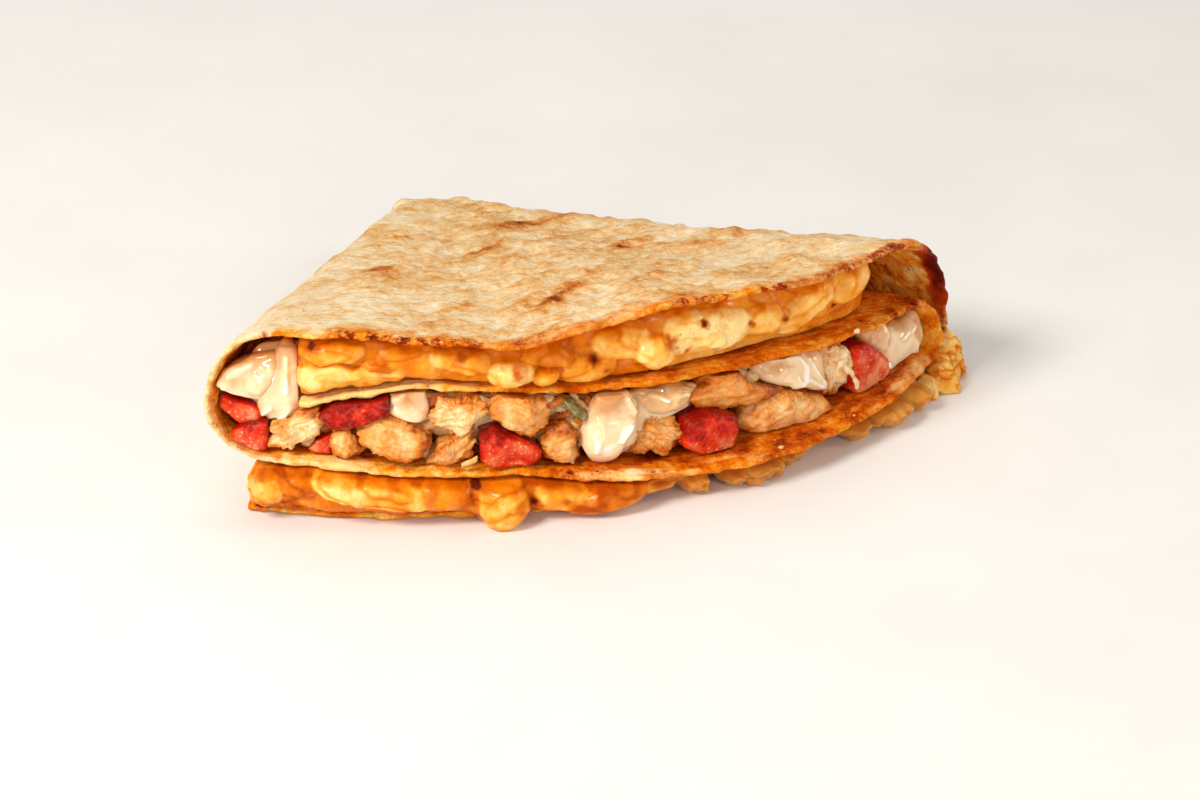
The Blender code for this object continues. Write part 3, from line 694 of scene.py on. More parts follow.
def rim_marks(sheet):
    """How burnt the outer and the inner side are by beads on some stretches of the rims, a line on the right
    one and the named marks, and how toasted by the marks."""
    p, rim_gap, angle = sheet.middle, sheet.from_rim, sheet.angle
    rim_line = 1 - soft_step(rim_gap, 0.2, 1.8)
    beads = soft_step(rough(p, 1.5, 2, 66), 0.0, 0.5)
    beads = beads * rim_line * soft_step(rough(p, 6.0, 2, 67), -0.1, 0.35)
    upper_zone = soft_step(angle, -29.5, -27) * soft_step(angle, -13, -15.5) + soft_step(angle, 2, 6)
    upper_zone = sheet.on(1) * upper_zone
    lower_zone = sheet.on(3) * soft_step(angle, -16, -14) * soft_step(angle, 4, 0)
    lower_zone = lower_zone + 1.2 * sheet.on(2) * soft_step(angle, 27, 30)
    lip = (1 - soft_step(rim_gap, 0.0, 1.3)) * sheet.on(1) * soft_step(angle, 1, 8)
    lip = lip * soft_step(rough(p, 4.0, 2, 68), -0.5, 0.4)
    marks, toasted = marked(p)
    marks = np.maximum(marks, 0.55 * lip)
    outside = np.maximum(marks, 0.9 * beads * upper_zone)
    inside = np.maximum(marks, 0.9 * beads * (upper_zone + lower_zone))
    return outside, inside, toasted


def sheet_tones(sheet, crests, shown):
    """How toasted, oily, burnt and charred the outer and the inner side are."""
    p, rim_gap, angle = sheet.middle, sheet.from_rim, sheet.angle
    top, second, third = sheet.on(1), sheet.on(2), sheet.on(3)
    left, outer = sheet.on("left"), sheet.on("outer")
    # Near the rim, at its very edge, in spots along it, and at the right of the top
    near = 1 - soft_step(rim_gap, 0, 6.5 + 3.0 * rough(p, 12.0, 2, 51))
    outermost = 1 - soft_step(rim_gap, 0, 2.0)
    rim_spots = soft_step(rough(p, 7.0, 2, 56), 0.1, 0.7)
    brown_right = top * soft_step(angle, 12, 22)
    browned = patches(sheet)
    # Streaks that run from the rim inwards, and cream on the rim of layer 3
    arc = np.stack([angle * DEGREE + 0 * rim_gap, rim_gap * 5.0, p[..., 2] * 2.0], -1)
    streak = rough(arc, 10.0, 2, 59)
    cream = soft_step(rough(arc, 13.0, 2, 64), 0.0, 0.5) * (1 - soft_step(rim_gap, 0.6, 3.4)) * third

    # Toast on the outer side, where it shows and where it is hidden, and on the inner side
    toast = 0.29 + 0.3 * (crests - 0.5) + 0.13 * rough(p, 16.0, 3, 53) + 0.1 * rough(p, 3.0, 2, 54)
    toast = toast - 0.16 * (1 - soft_step(p[..., 0], -70, -40)) - 0.06 * soft_step(p[..., 0], 10, 50)
    toast = (toast + 0.75 * browned) * (1 - 0.6 * near * left)
    toast = toast + near * rim_spots * 0.16 * (1 - left) + outermost * (0.02 + 0.2 * brown_right)
    plain = 0.34 + 0.16 * rough(p, 6.0, 3, 55) + 0.16 * streak + 0.1 * soft_step(angle, -16, 0)
    toast_out = toast * shown + plain * (1 - shown)
    # The outer fold's inner side is painted paler, as painted light inside the shaded fold
    toast_in = 0.46 + 0.2 * rough(p, 5.0, 3, 61) + 0.16 * streak - 0.24 * cream - 0.2 * outer
    toast_in = toast_in + 0.12 * soft_step(angle, -16, -6) * third
    # Rims of layers 2 and 3 at the left painted paler: painted light where they lie in shade
    painted_rim_light = second * soft_step(angle, -7, -14) * (1 - soft_step(rim_gap, 1.5, 6.0))
    painted_rim_light = painted_rim_light + 0.8 * third * soft_step(angle, -13, -20) * (1 - soft_step(rim_gap, 1.0, 4.0))
    painted_rim_light = painted_rim_light * (0.28 + 0.26 * soft_step(angle, -20, -27))
    toast_out = toast_out - painted_rim_light
    toast_in = toast_in - painted_rim_light - 0.12 * outermost * left

    # Oil along the rims and on all that is hidden
    oil_out = near * (0.8 + 0.35 * rough(p, 8.0, 2, 57)) * (1 - 0.8 * left) * (1 - 0.65 * brown_right)
    oil_out = (oil_out + 0.6 * browned) * shown + (1 - shown)
    oil_in = 1 - 0.35 * outermost * left - 0.5 * cream - 0.6 * outermost * brown_right

    # Burnt specks outside, round burnt spots inside
    speck = 1 - soft_step(cells(p, 3.2, 52)[0], 0.12, 0.28)
    speck_zone = near * rim_spots * (1 - 0.6 * left)
    burn_out = speck * speck_zone * 0.8 + speck * 0.2 * soft_step(rough(p, 9.0, 2, 58), 0.5, 0.8)
    round_spots = 1 - soft_step(cells(p, 6.0, 62)[0], 0.16, 0.34)
    burn_in = (0.25 + 0.4 * outer) * round_spots * soft_step(rough(p, 11.0, 2, 63), 0.0, 0.5)
    burn_in = np.maximum(burn_in, 0.4 * outer * outermost * soft_step(sheet.turn, -60, -30))
    # Charred orange to red on the outer fold
    charred = outer * soft_step(sheet.turn, 78, 46) * soft_step(sheet.turn, -20, 12)
    char_in = charred * soft_step(rim_gap + 1.6 * rough(p, 7.0, 2, 65), 4.4, 0.0)
    char_in = char_in * (0.3 + 0.7 * soft_step(sheet.turn, 0, 40))
    char_out = char_in * (1 - soft_step(rim_gap, 0.8, 3.0))

    marks_out, marks_in, toasted = rim_marks(sheet)
    return {
        "toast": (toast_out + toasted, toast_in + toasted),
        "oil": (oil_out, oil_in),
        "burn": (np.maximum(burn_out, marks_out), np.maximum(burn_in, marks_in)),
        "char": (char_out, char_in),
    }


def build_tortilla(material):
    """The folded sheet with its wrinkles, blisters, toasted rim and oily inner sides."""
    sheet = Sheet()
    p, rim_gap = sheet.middle, sheet.from_rim
    relief, crests = top_relief(sheet)
    shown = sheet.on(1) + sheet.on("left") + sheet.on("outer")
    thin = (sheet.half / HALF)[:, None]
    slimmer = 0.3 * (1 - soft_step(rim_gap, 0, 1.4))
    plain = -0.15 + 0.22 * rough(p, 5.0, 3, 41)
    rim_bumps = 0.24 * rough(p, 2.6, 2, 42) * (1 - soft_step(rim_gap, 2, 7))
    outer_lift = (relief + big_puffs(sheet)) * shown + plain * (1 - shown) * (1 - sheet.on(LAST))
    outer_lift = outer_lift - slimmer + rim_bumps
    inner_lift = -0.15 + 0.25 * rough(p, 4.2, 3, 43) - slimmer + rim_bumps
    outer = p + sheet.normal * (sheet.half[:, None] + outer_lift * thin)[..., None]
    inner = p - sheet.normal * (sheet.half[:, None] + inner_lift * thin)[..., None]
    middle = (outer[0] + inner[0]) / 2
    half = np.linalg.norm(outer[0] - inner[0], axis=1) / 2
    edge = []
    for turn in RIM_TURNS:
        cos, sin = math.cos(math.radians(turn)), math.sin(math.radians(turn))
        spot = middle + sheet.normal[0] * (half * sin)[:, None]
        out = RIM_ROUND * cos * (1 + 0.5 * rough(spot, 1.6, 2, 44) + 0.35 * rough(spot, 5.0, 1, 45))
        edge.append(spot + sheet.outward * out[:, None])
    points, faces, used = sheet_mesh(sheet, outer, inner, np.array(edge))

    values = {}
    for key, (outside, inside) in sheet_tones(sheet, crests, shown).items():
        share = np.linspace(0, 1, len(RIM_TURNS) + 2)[1:-1, None]
        band = outside[0] * (1 - share) + inside[0] * share
        values[key] = np.concatenate([outside[used[0]], inside[used[1]], band.ravel()])
    new_piece("tortilla_sheet", points, faces, material, ("tortilla",), values)


def tortilla_material():
    """Baked dough: pale and floury, golden to brown where toasted, orange where oily, dark where burnt."""
    g = Graph("tortilla_dough")
    fine = g.noise(2.2, 5.0, 0.65)
    grain = g.noise(0.7, 3.0, 0.6)
    cloud = g.noise(14.0, 3.0, 0.5)
    toast = g.vary(g.number("toast"), fine, 0.16, 0.25, 0.75)
    toast = g.vary(toast, cloud, 0.08)
    toast = g.vary(toast, grain, 0.09, 0.25, 0.75)
    dry = g.ramp(toast, [
        (0.0, (250, 230, 196)), (0.2, (244, 214, 168)), (0.4, (234, 186, 122)), (0.6, (216, 146, 72)),
        (0.8, (176, 98, 40)), (1.0, (112, 54, 20)),
    ])
    oily = g.ramp(toast, [
        (0.0, (255, 210, 130)), (0.2, (248, 170, 52)), (0.42, (230, 122, 4)), (0.65, (192, 78, 2)),
        (0.85, (136, 42, 2)), (1.0, (84, 18, 2)),
    ])
    oil = g.vary(g.number("oil"), fine, 0.1, clamp=True)
    colour = g.mix(oil, dry, oily)
    flecks = g.span(g.spots(1.9), 0.1, 0.24, 0.45, 0.0)
    flecks = g.times(flecks, g.span(g.noise(7.0, 2.0), 0.5, 0.62))
    colour = g.mix(flecks, colour, tint(150, 74, 30))
    burnt = g.times(g.number("burn"), g.span(g.noise(0.9, 3.0), 0.36, 0.64, 0.3, 1.25))
    burnt = g.vary(burnt, grain, 0.1)
    colour = g.mix(g.span(burnt, 0.06, 0.6), colour, tint(160, 52, 8))
    colour = g.mix(g.span(burnt, 0.6, 1.15), colour, tint(70, 16, 6))
    charred = g.vary(g.number("char"), fine, 0.1)
    colour = g.mix(g.span(charred, 0.05, 0.5), colour, tint(186, 58, 4))
    colour = g.mix(g.span(charred, 0.45, 0.95), colour, tint(92, 8, 2))
    stretched = {"Vector": g.place, "Rotation": (0.0, 0.0, -WRINKLE_TURN), "Scale": (0.35, 1.0, 0.7)}
    creases = g.noise(1.7, 4.0, 0.6, 0.3, g.node("Mapping", stretched).outputs[0])
    relief = g.bump(grain, 0.2)
    relief = g.bump(fine, 0.4, relief)
    relief = g.bump(creases, 0.85, relief)
    sheen = g.vary(g.span(oil, 0.0, 1.0, 0.76, 0.44), grain, 0.1)
    return g.finish(Base_Color=colour, Roughness=sheen, Normal=relief, Subsurface_Weight=0.12,
                    Subsurface_Radius=(0.6, 0.3, 0.15), Subsurface_Scale=0.004, Specular_IOR_Level=0.12,
                    Specular_Tint=(1.0, 0.7, 0.35))


def build_camera():
    data = bpy.data.cameras.new("camera")
    data.lens = VIEW_LENS
    data.sensor_width = SENSOR
    data.clip_start, data.clip_end = 0.01, 20.0
    camera = new_object("camera", data)
    back = direction(VIEW_AZIMUTH, VIEW_ELEVATION)
    camera.location = (Vector(VIEW_TARGET) + back * VIEW_DISTANCE) * MM
    camera.rotation_mode = "QUATERNION"
    camera.rotation_quaternion = (-back).to_track_quat("-Z", "Y")
    bpy.context.scene.camera = camera


# Soft studio lights: name, azimuth and elevation in degrees, distance, width and height in metres, power in
# watts and colour
WHITE, WARM = (1.0, 0.98, 0.95), (1.0, 0.96, 0.9)
LIGHTS = [
    ("key_light", -70, 44, 0.9, 0.3, 0.3, 6.3, WARM),
    ("front_fill", -5, 32, 1.1, 0.6, 0.3, 0.55, (1.0, 0.97, 0.93)),
    ("glint_left", -64, 8, 0.9, 0.1, 0.05, 1.0, WHITE),
    ("glint_front", -30, 14, 0.9, 0.14, 0.04, 1.0, WHITE),
    ("glint_right", 24, 16, 0.9, 0.05, 0.12, 1.0, WARM),
    ("right_strip", 66, 28, 1.0, 0.12, 0.6, 2.0, (1.0, 0.93, 0.82)),
    ("top_light", 160, 65, 0.9, 0.7, 0.7, 2.1, WHITE),
]
ROOM_COLOUR, ROOM_STRENGTH = (1.0, 0.98, 0.96, 1.0), 0.23
FLOOR_REACH = 3.0


def build_lights():
    for name, azimuth, elevation, distance, width, tall, power, colour in LIGHTS:
        data = bpy.data.lights.new(name, "AREA")
        data.shape = "RECTANGLE"
        data.size, data.size_y = width, tall
        data.energy = power
        data.color = colour
        light = new_object(name, data)
        towards = direction(azimuth, elevation)
        light.location = towards * distance
        light.rotation_mode = "QUATERNION"
        light.rotation_quaternion = towards.to_track_quat("Z", "Y")
    world = bpy.data.worlds.new("pale_room")
    world.use_nodes = True
    world.node_tree.nodes["Background"].inputs["Color"].default_value = ROOM_COLOUR
    world.node_tree.nodes["Background"].inputs["Strength"].default_value = ROOM_STRENGTH
    bpy.context.scene.world = world
    bpy.context.scene.view_settings.view_transform = "Standard"


def build_floor():
    data = bpy.data.meshes.new("floor")
    corners = [(x * FLOOR_REACH, y * FLOOR_REACH, 0) for x, y in ((-1, -1), (1, -1), (1, 1), (-1, 1))]
    data.from_pydata(corners, [], [(0, 1, 2, 3)])
    g = Graph("pale_floor")
    cloud = g.noise(40.0, 4.0)
    colour = g.ramp(cloud, [(0.3, (238, 236, 233)), (0.7, (243, 241, 238))])
    data.materials.append(g.finish(Base_Color=colour, Roughness=0.85, Normal=g.bump(g.noise(1.5), 0.02)))
    floor = new_object("floor", data)


def loft(sections):
    """Points and faces of a closed form through rings of points, with its two ends closed."""
    count, ring, _ = sections.shape
    index = np.arange(count * ring).reshape(count, ring)
    after = np.roll(index, -1, 1)
    faces = np.stack([index[:-1], after[:-1], after[1:], index[1:]], -1).reshape(-1, 4).tolist()
    faces.append(index[0, ::-1].tolist())
    faces.append(index[-1].tolist())
    return sections.reshape(-1, 3), faces


class Feature:
    """A lump on a front: its angle and height, half width and half height in millimetres, how far it stands
    out, how boxy its outline and its profile are, how far it leans in degrees, and how creamy it is."""

    def __init__(self, angle, z, wide, tall, out, boxy=2.0, flat=2.0, lean=0.0, cream=0.5):
        self.angle, self.z, self.wide, self.tall, self.out = angle, z, wide, tall, out
        self.boxy, self.flat, self.lean, self.cream = boxy, flat, math.radians(lean), cream

    def lift(self, angle, z, warp):
        """How far it stands out at these places, and 1 inside it falling to 0 at its outline."""
        x = np.radians(angle - self.angle) * RADIUS + warp[0]
        y = z - self.z + warp[1]
        x, y = turned(x, y, self.lean)
        d = (np.abs(x / self.wide) ** self.boxy + np.abs(y / self.tall) ** self.boxy) ** (1 / self.boxy)
        inner = np.clip(1 - d**self.flat, 0, 1)
        skirt = soft_step(d, 1.45, 0.5)
        return self.out * (0.5 * np.sqrt(inner) + 0.5 * skirt), inner


# The upper cheese's lumps and tongues, from left to right
UPPER_FEATURES = [
    Feature(-27.4, 36.2, 6.0, 2.4, 2.0, 2.4, 3.0, 4, 0.62),
    Feature(-28.8, 30.6, 6.8, 2.9, 2.6, 2.6, 3.0, 4, 1.0),
    Feature(-24.0, 30.9, 6.5, 2.3, 2.6, 2.4, 2.4, 6, 0.9),
    Feature(-23.6, 33.2, 3.4, 1.4, 2.9, 2.0, 2.0, 0, 0.2),
    Feature(-20.6, 33.4, 7.0, 3.2, 1.6, 2.6, 4.0, -14, 0.35),
    Feature(-16.0, 33.6, 6.4, 2.6, 3.0, 2.8, 4.0, -16, 0.6),
    Feature(-11.4, 29.9, 5.2, 3.2, 4.4, 2.2, 2.0, 0, 1.0),
    Feature(-8.2, 28.6, 2.2, 1.8, 3.6, 2.0, 2.0, 0, 0.6),
    Feature(-8.0, 33.0, 5.0, 2.4, 2.4, 2.8, 5.0, -16, 0.4),
    Feature(-4.0, 28.6, 6.0, 3.0, 2.2, 2.6, 4.0, 6, 0.5),
    Feature(2.6, 30.6, 4.3, 3.6, 4.6, 2.0, 2.0, 0, 1.0),
    Feature(-0.6, 33.4, 7.0, 3.4, 2.0, 2.4, 3.0, -6, 0.7),
    Feature(8.2, 31.8, 11.0, 4.6, 3.2, 3.4, 7.0, -8, 0.9),
    Feature(8.6, 30.2, 4.2, 2.4, 4.2, 2.2, 2.6, -4, 1.0),
    Feature(15.0, 30.0, 5.2, 3.2, 2.6, 2.6, 4.0, -18, 0.5),
    Feature(20.4, 29.6, 8.4, 3.4, 2.8, 3.4, 8.0, 14, 0.75),
    Feature(14.6, 30.4, 5.0, 2.4, 2.4, 3.0, 6.0, -12, 0.85),
    Feature(27.6, 30.0, 6.6, 3.0, 2.6, 3.8, 8.0, 12, 0.75),
    Feature(23.6, 33.0, 9.0, 2.4, 1.4, 2.6, 4.0, 8, 0.5),
]
# The lower cheese's
LOWER_FEATURES = [
    Feature(-34.4, 7.0, 4.6, 3.8, 2.8, 2.4, 2.4, 10, 0.65),
    Feature(-31.4, 8.6, 4.4, 2.4, 2.2, 2.2, 2.6, -20, 0.1),
    Feature(-27.2, 8.0, 6.2, 2.7, 3.6, 2.4, 2.2, -22, 0.9),
    Feature(-22.4, 6.6, 7.2, 3.2, 3.3, 2.4, 2.4, -6, 0.7),
    Feature(-18.0, 6.4, 5.6, 3.4, 2.8, 2.4, 2.6, 0, 0.35),
    Feature(-12.6, 4.2, 4.9, 6.4, 6.2, 2.3, 2.2, 12, 0.7),
    Feature(-7.6, 4.8, 5.4, 3.8, 3.3, 2.4, 2.6, 0, 0.5),
    Feature(-3.0, 3.0, 8.6, 3.4, 4.8, 2.6, 2.6, 4, 0.1),
    Feature(2.0, 2.2, 4.6, 2.2, 3.8, 2.2, 2.4, 8, 0.3),
    Feature(5.8, 1.8, 3.0, 2.8, 5.8, 4.0, 6.0, 0, 0.4),
    Feature(11.4, 1.6, 7.4, 2.8, 7.6, 5.0, 8.0, 6, 0.4),
    Feature(15.6, 2.0, 3.4, 2.2, 5.6, 4.0, 6.0, 6, 0.4),
    Feature(23.5, 2.0, 3.0, 2.2, 6.4, 4.0, 6.0, 0, 0.6),
    Feature(28.0, 2.2, 5.4, 2.8, 7.8, 4.0, 6.0, 0, 0.7),
    Feature(31.8, 2.2, 3.4, 2.8, 7.4, 4.0, 6.0, 0, 0.8),
]
# Browned spots on the cheese: angle, height, half width in millimetres and how dark
UPPER_SPOTS = [
    (-10.9, 31.4, 1.7, 0.8), (-23.4, 33.6, 2.2, 0.7), (-3.5, 31.3, 1.5, 1.3), (4.0, 32.6, 1.9, 0.75),
    (-16.1, 35.0, 1.2, 0.6), (-29.7, 37.4, 1.3, 1.3), (-30.9, 34.6, 1.1, 1.0), (7.6, 34.6, 0.9, 1.4),
    (9.6, 33.2, 2.2, 0.4), (13.2, 31.0, 0.8, 1.0), (17.4, 29.4, 1.0, 1.1), (5.8, 29.6, 0.9, 1.0),
    (-5.4, 33.6, 1.0, 0.6), (0.4, 33.4, 2.6, 0.35), (24.9, 26.6, 0.8, 1.4), (-2.4, 28.6, 0.6, 0.9),
]
LOWER_SPOTS = [
    (-14.9, 8.6, 1.7, 1.3), (-15.4, 6.8, 1.1, 1.1), (-10.0, 4.6, 1.5, 1.3), (-7.0, 4.4, 1.2, 0.8),
    (-18.8, 7.6, 1.8, 0.6), (-22.6, 8.4, 1.4, 0.5), (-34.6, 9.8, 1.2, 0.8), (-12.4, 4.4, 0.4, 0.8),
    (-19.6, 3.0, 0.8, 1.2), (-3.4, 5.4, 1.0, 0.6),
]


def spotted(spots, angle, z, uneven):
    """How browned the cheese is at these places."""
    total = 0.0
    for a, h, half, dark in spots:
        away = np.hypot(np.radians(angle - a) * RADIUS, z - h) / half
        total = np.maximum(total, dark * bell(away * (1 + 0.5 * uneven)))
    return total


# How softly the lumps run into each other, in millimetres
LUMP_BLEND = 0.45


def heaped(features, angle, z, place):
    """The lumps joined into one front: how far it stands out, how creamy and how near an outline it is."""
    warp = 0.9 * rough(place, 6.0, 2, 101), 0.6 * rough(place, 4.5, 2, 102)
    out, cream, edge = np.zeros(angle.shape), np.zeros(angle.shape), np.zeros(angle.shape)
    for feature in features:
        lift, inner = feature.lift(angle, z, warp)
        higher = np.clip(0.5 + (lift - out) / (2 * LUMP_BLEND), 0, 1)
        cream = cream + (feature.cream - cream) * higher * soft_step(inner, -0.1, 0.4)
        edge = edge + ((1 - soft_step(inner, 0.05, 0.5)) * soft_step(inner, 0.0, 0.05) - edge) * higher
        out = out + (lift - out) * higher + LUMP_BLEND * higher * (1 - higher)
    return out, cream, edge


class Front:
    """The open front of a band of cheese, in rows between two heights: its places, lumps and creases."""

    def __init__(self, features, angle, low, high, rows, seed):
        self.angle, self.seed = angle, seed
        self.share = np.linspace(0, 1, rows)[None]
        self.z = between(low, high, self.share)
        self.spot = at(angle, RADIUS, self.z)
        self.out, self.cream, self.edge = heaped(features, angle, self.z, self.spot)
        self.creases = np.abs(rough(self.spot * (0.5, 0.5, 1.2), 6.0, 2, seed + 2))

    def plump(self, amount):
        """How far the middle rows stand out before the first and the last."""
        return amount * (1 - np.abs(2 * self.share - 1) ** 3)

    def uneven(self, small, size):
        """Small ripples of this depth on larger ones of this size."""
        ripples = small * rough(self.spot, 2.2, 2, self.seed + 3)
        return ripples + 0.35 * rough(self.spot, size, 2, self.seed + 4)

    def amber(self, plain, cream, clouds, size, creases):
        """From pale to amber: less where creamy, uneven by clouds of this size and more in the creases."""
        tone = plain - cream * self.cream + clouds * rough(self.spot, size, 3, self.seed + 5)
        return tone + creases * bell(self.creases, 0.12) - 0.2 * self.edge

    def browned(self, spots, clouds, start):
        """How browned it is, in its own spots and in clouds that start at this height of their noise."""
        own = spotted(spots, self.angle, self.z, rough(self.spot, 1.6, 2, self.seed + 6))
        return own + clouds * soft_step(rough(self.spot, 3.4, 3, self.seed + 7), start, 0.9)


def there_and_back(low, front, high):
    """Columns that go forwards below, over the front and backwards above."""
    return np.concatenate([low, front, high[:, ::-1]], 1)


def flanked(numbers, before, after, plain):
    """A front's numbers with a plain one for the hidden columns before and after it."""
    rows = len(numbers)
    return np.concatenate([np.full((rows, before), plain), numbers, np.full((rows, after), plain)], 1)


# Degrees from one column of cheese to the next, the rows of the two fronts and where they end at the right
CHEESE_STEP, UPPER_ROWS, LOWER_ROWS = 0.16, 44, 40
UPPER_END, LOWER_END = 32.0, 34.0
# Radii of the upper cheese behind its front, as shares of the front's
SLAB_SHARES = np.array([0.1, 0.3, 0.52, 0.74, 0.88, 0.955])
# How far food stays from the middle of the sheet, and how much closer the fronts come
FOOD_CLEAR, SNUG = HALF + GAP + 0.15, 0.3
# How far the upper cheese stays behind the rim below it, by angle
UPPER_INSET = [(-31, 0.6), (-12, 0.9), (0, 2.4), (10, 4.4), (33, 5.6)]


def build_cheese_upper(material):
    """Melted cheese between layers 1 and 2, in lumps and tongues at the front."""
    angle = np.arange(SLIT_TOP, UPPER_END, CHEESE_STEP)[:, None]
    wave = at(angle[:, 0], RADIUS, 30.0)
    rim = smooth(RIM[2], angle) - smooth(UPPER_INSET, angle) + 0.4 * rough(wave, 7.0, 2, 111)[:, None]
    lowest = height(2, angle, rim) + FOOD_CLEAR - SNUG
    highest = height(1, angle, rim) - FOOD_CLEAR + SNUG
    band = Front(UPPER_FEATURES, angle, lowest, highest, UPPER_ROWS, 110)
    share = band.share
    ends = np.exp(-(angle - SLIT_TOP) / 0.35) + 5.0 * np.exp(-(UPPER_END - angle) / 1.1)
    ends = ends + 0.8 * soft_step(angle, -20, -26) * (1 - share)
    front = rim - 0.9 + band.plump(1.3) + band.out + band.uneven(0.07, 6.5)
    front = front - 0.2 * bell(band.creases, 0.05) - ends
    front = front - 1.2 * soft_step(share, 0.94, 1.0) - 0.8 * soft_step(share, 0.05, 0.0)
    back = SLAB_SHARES[None] * rim
    low_z = height(2, angle, back) + FOOD_CLEAR
    high_z = height(1, angle, back) - FOOD_CLEAR
    radius = there_and_back(back, front, back)
    z = there_and_back(low_z, band.z, high_z)

    # Paler from 2 to 20 degrees: painted light where this cheese lies in shade
    tone = band.amber(0.7, 0.58, 0.16, 5.0, 0.2) - 0.16 * soft_step(angle, 2, 7) * soft_step(angle, 20, 15)
    # Deeper amber on the top rows, as painted shade under the rim of layer 1
    tone = tone + 0.18 * soft_step(share, 0.7, 1.0)
    # On the lowest rows: a little deeper at the left, and paler at the right as painted light where they lie
    # in shade
    tone = tone + soft_step(share, 0.3, 0.0) * (0.1 - 0.3 * soft_step(angle, 0, 6))
    hidden = len(SLAB_SHARES)
    browned = flanked(band.browned(UPPER_SPOTS, 0.25, 0.35), hidden, hidden, 0.0)
    values = {"amber": flanked(tone, hidden, hidden, 0.5), "browned": browned, "thin": np.zeros(z.shape)}
    points, faces = loft(at(angle, radius, z))
    new_piece("cheese_over", points, faces, material, ("cheese_upper",), values)


# Where the lower cheese runs down to the ground: angle and half width in degrees
DRIPS = [
    (-12.7, 2.6), (-3.6, 4.6), (5.8, 1.4), (11.6, 3.4), (15.6, 1.1), (23.5, 0.9), (27.8, 1.8), (31.8, 1.4),
]
# Radii of the lower cheese behind its front, as shares of the front's
LOWER_SHARES = np.linspace(0.1, 0.955, 34)
# The bulge past the slit: turns of its sections, how far it goes, and how fast it fades in degrees
END_TURNS, END_BULGE, END_FADE = (82, 68, 54, 40, 27, 13), 1.1, 5.0
# How far the lower cheese stands in front of layer 4, how far its top may lean out, and the drips' foot
LOWER_STAND, LOWER_LEAN, DRIP_FOOT = 1.2, 5.0, 0.05


def round_end(sections, values, angle, radius, z):
    """The sections with more before them that bulge past the slit, so that its side is not cut flat."""
    count = len(LOWER_SHARES)
    roof = np.interp(radius, radius[: -count - 1 : -1], z[: -count - 1 : -1])
    middle = (z[:count].min() + roof) / 2
    flat = at(angle, radius, z)
    outward = 1 + 0.5 * rough(flat, 9.0, 2, 141)
    upward = 1 + 0.15 * rough(flat, 7.0, 2, 142)
    added = []
    for turn in np.radians(END_TURNS):
        cos, sin = math.cos(turn), math.sin(turn)
        upright = middle + (z - middle) * cos * upward
        added.append(at(angle, radius * (1 - 0.012 * (1 - cos)), upright, END_BULGE * (1 - outward * sin)))
    added = np.array(added)
    tones = {
        "amber": 0.45 + 0.4 * rough(added, 8.0, 3, 143),
        "browned": 0.5 * soft_step(rough(added, 5.0, 3, 144), 0.3, 0.9),
        "thin": np.zeros(added.shape[:2]),
    }
    values = {key: np.concatenate([tones[key], values[key]]) for key in values}
    return np.concatenate([added, sections]), values


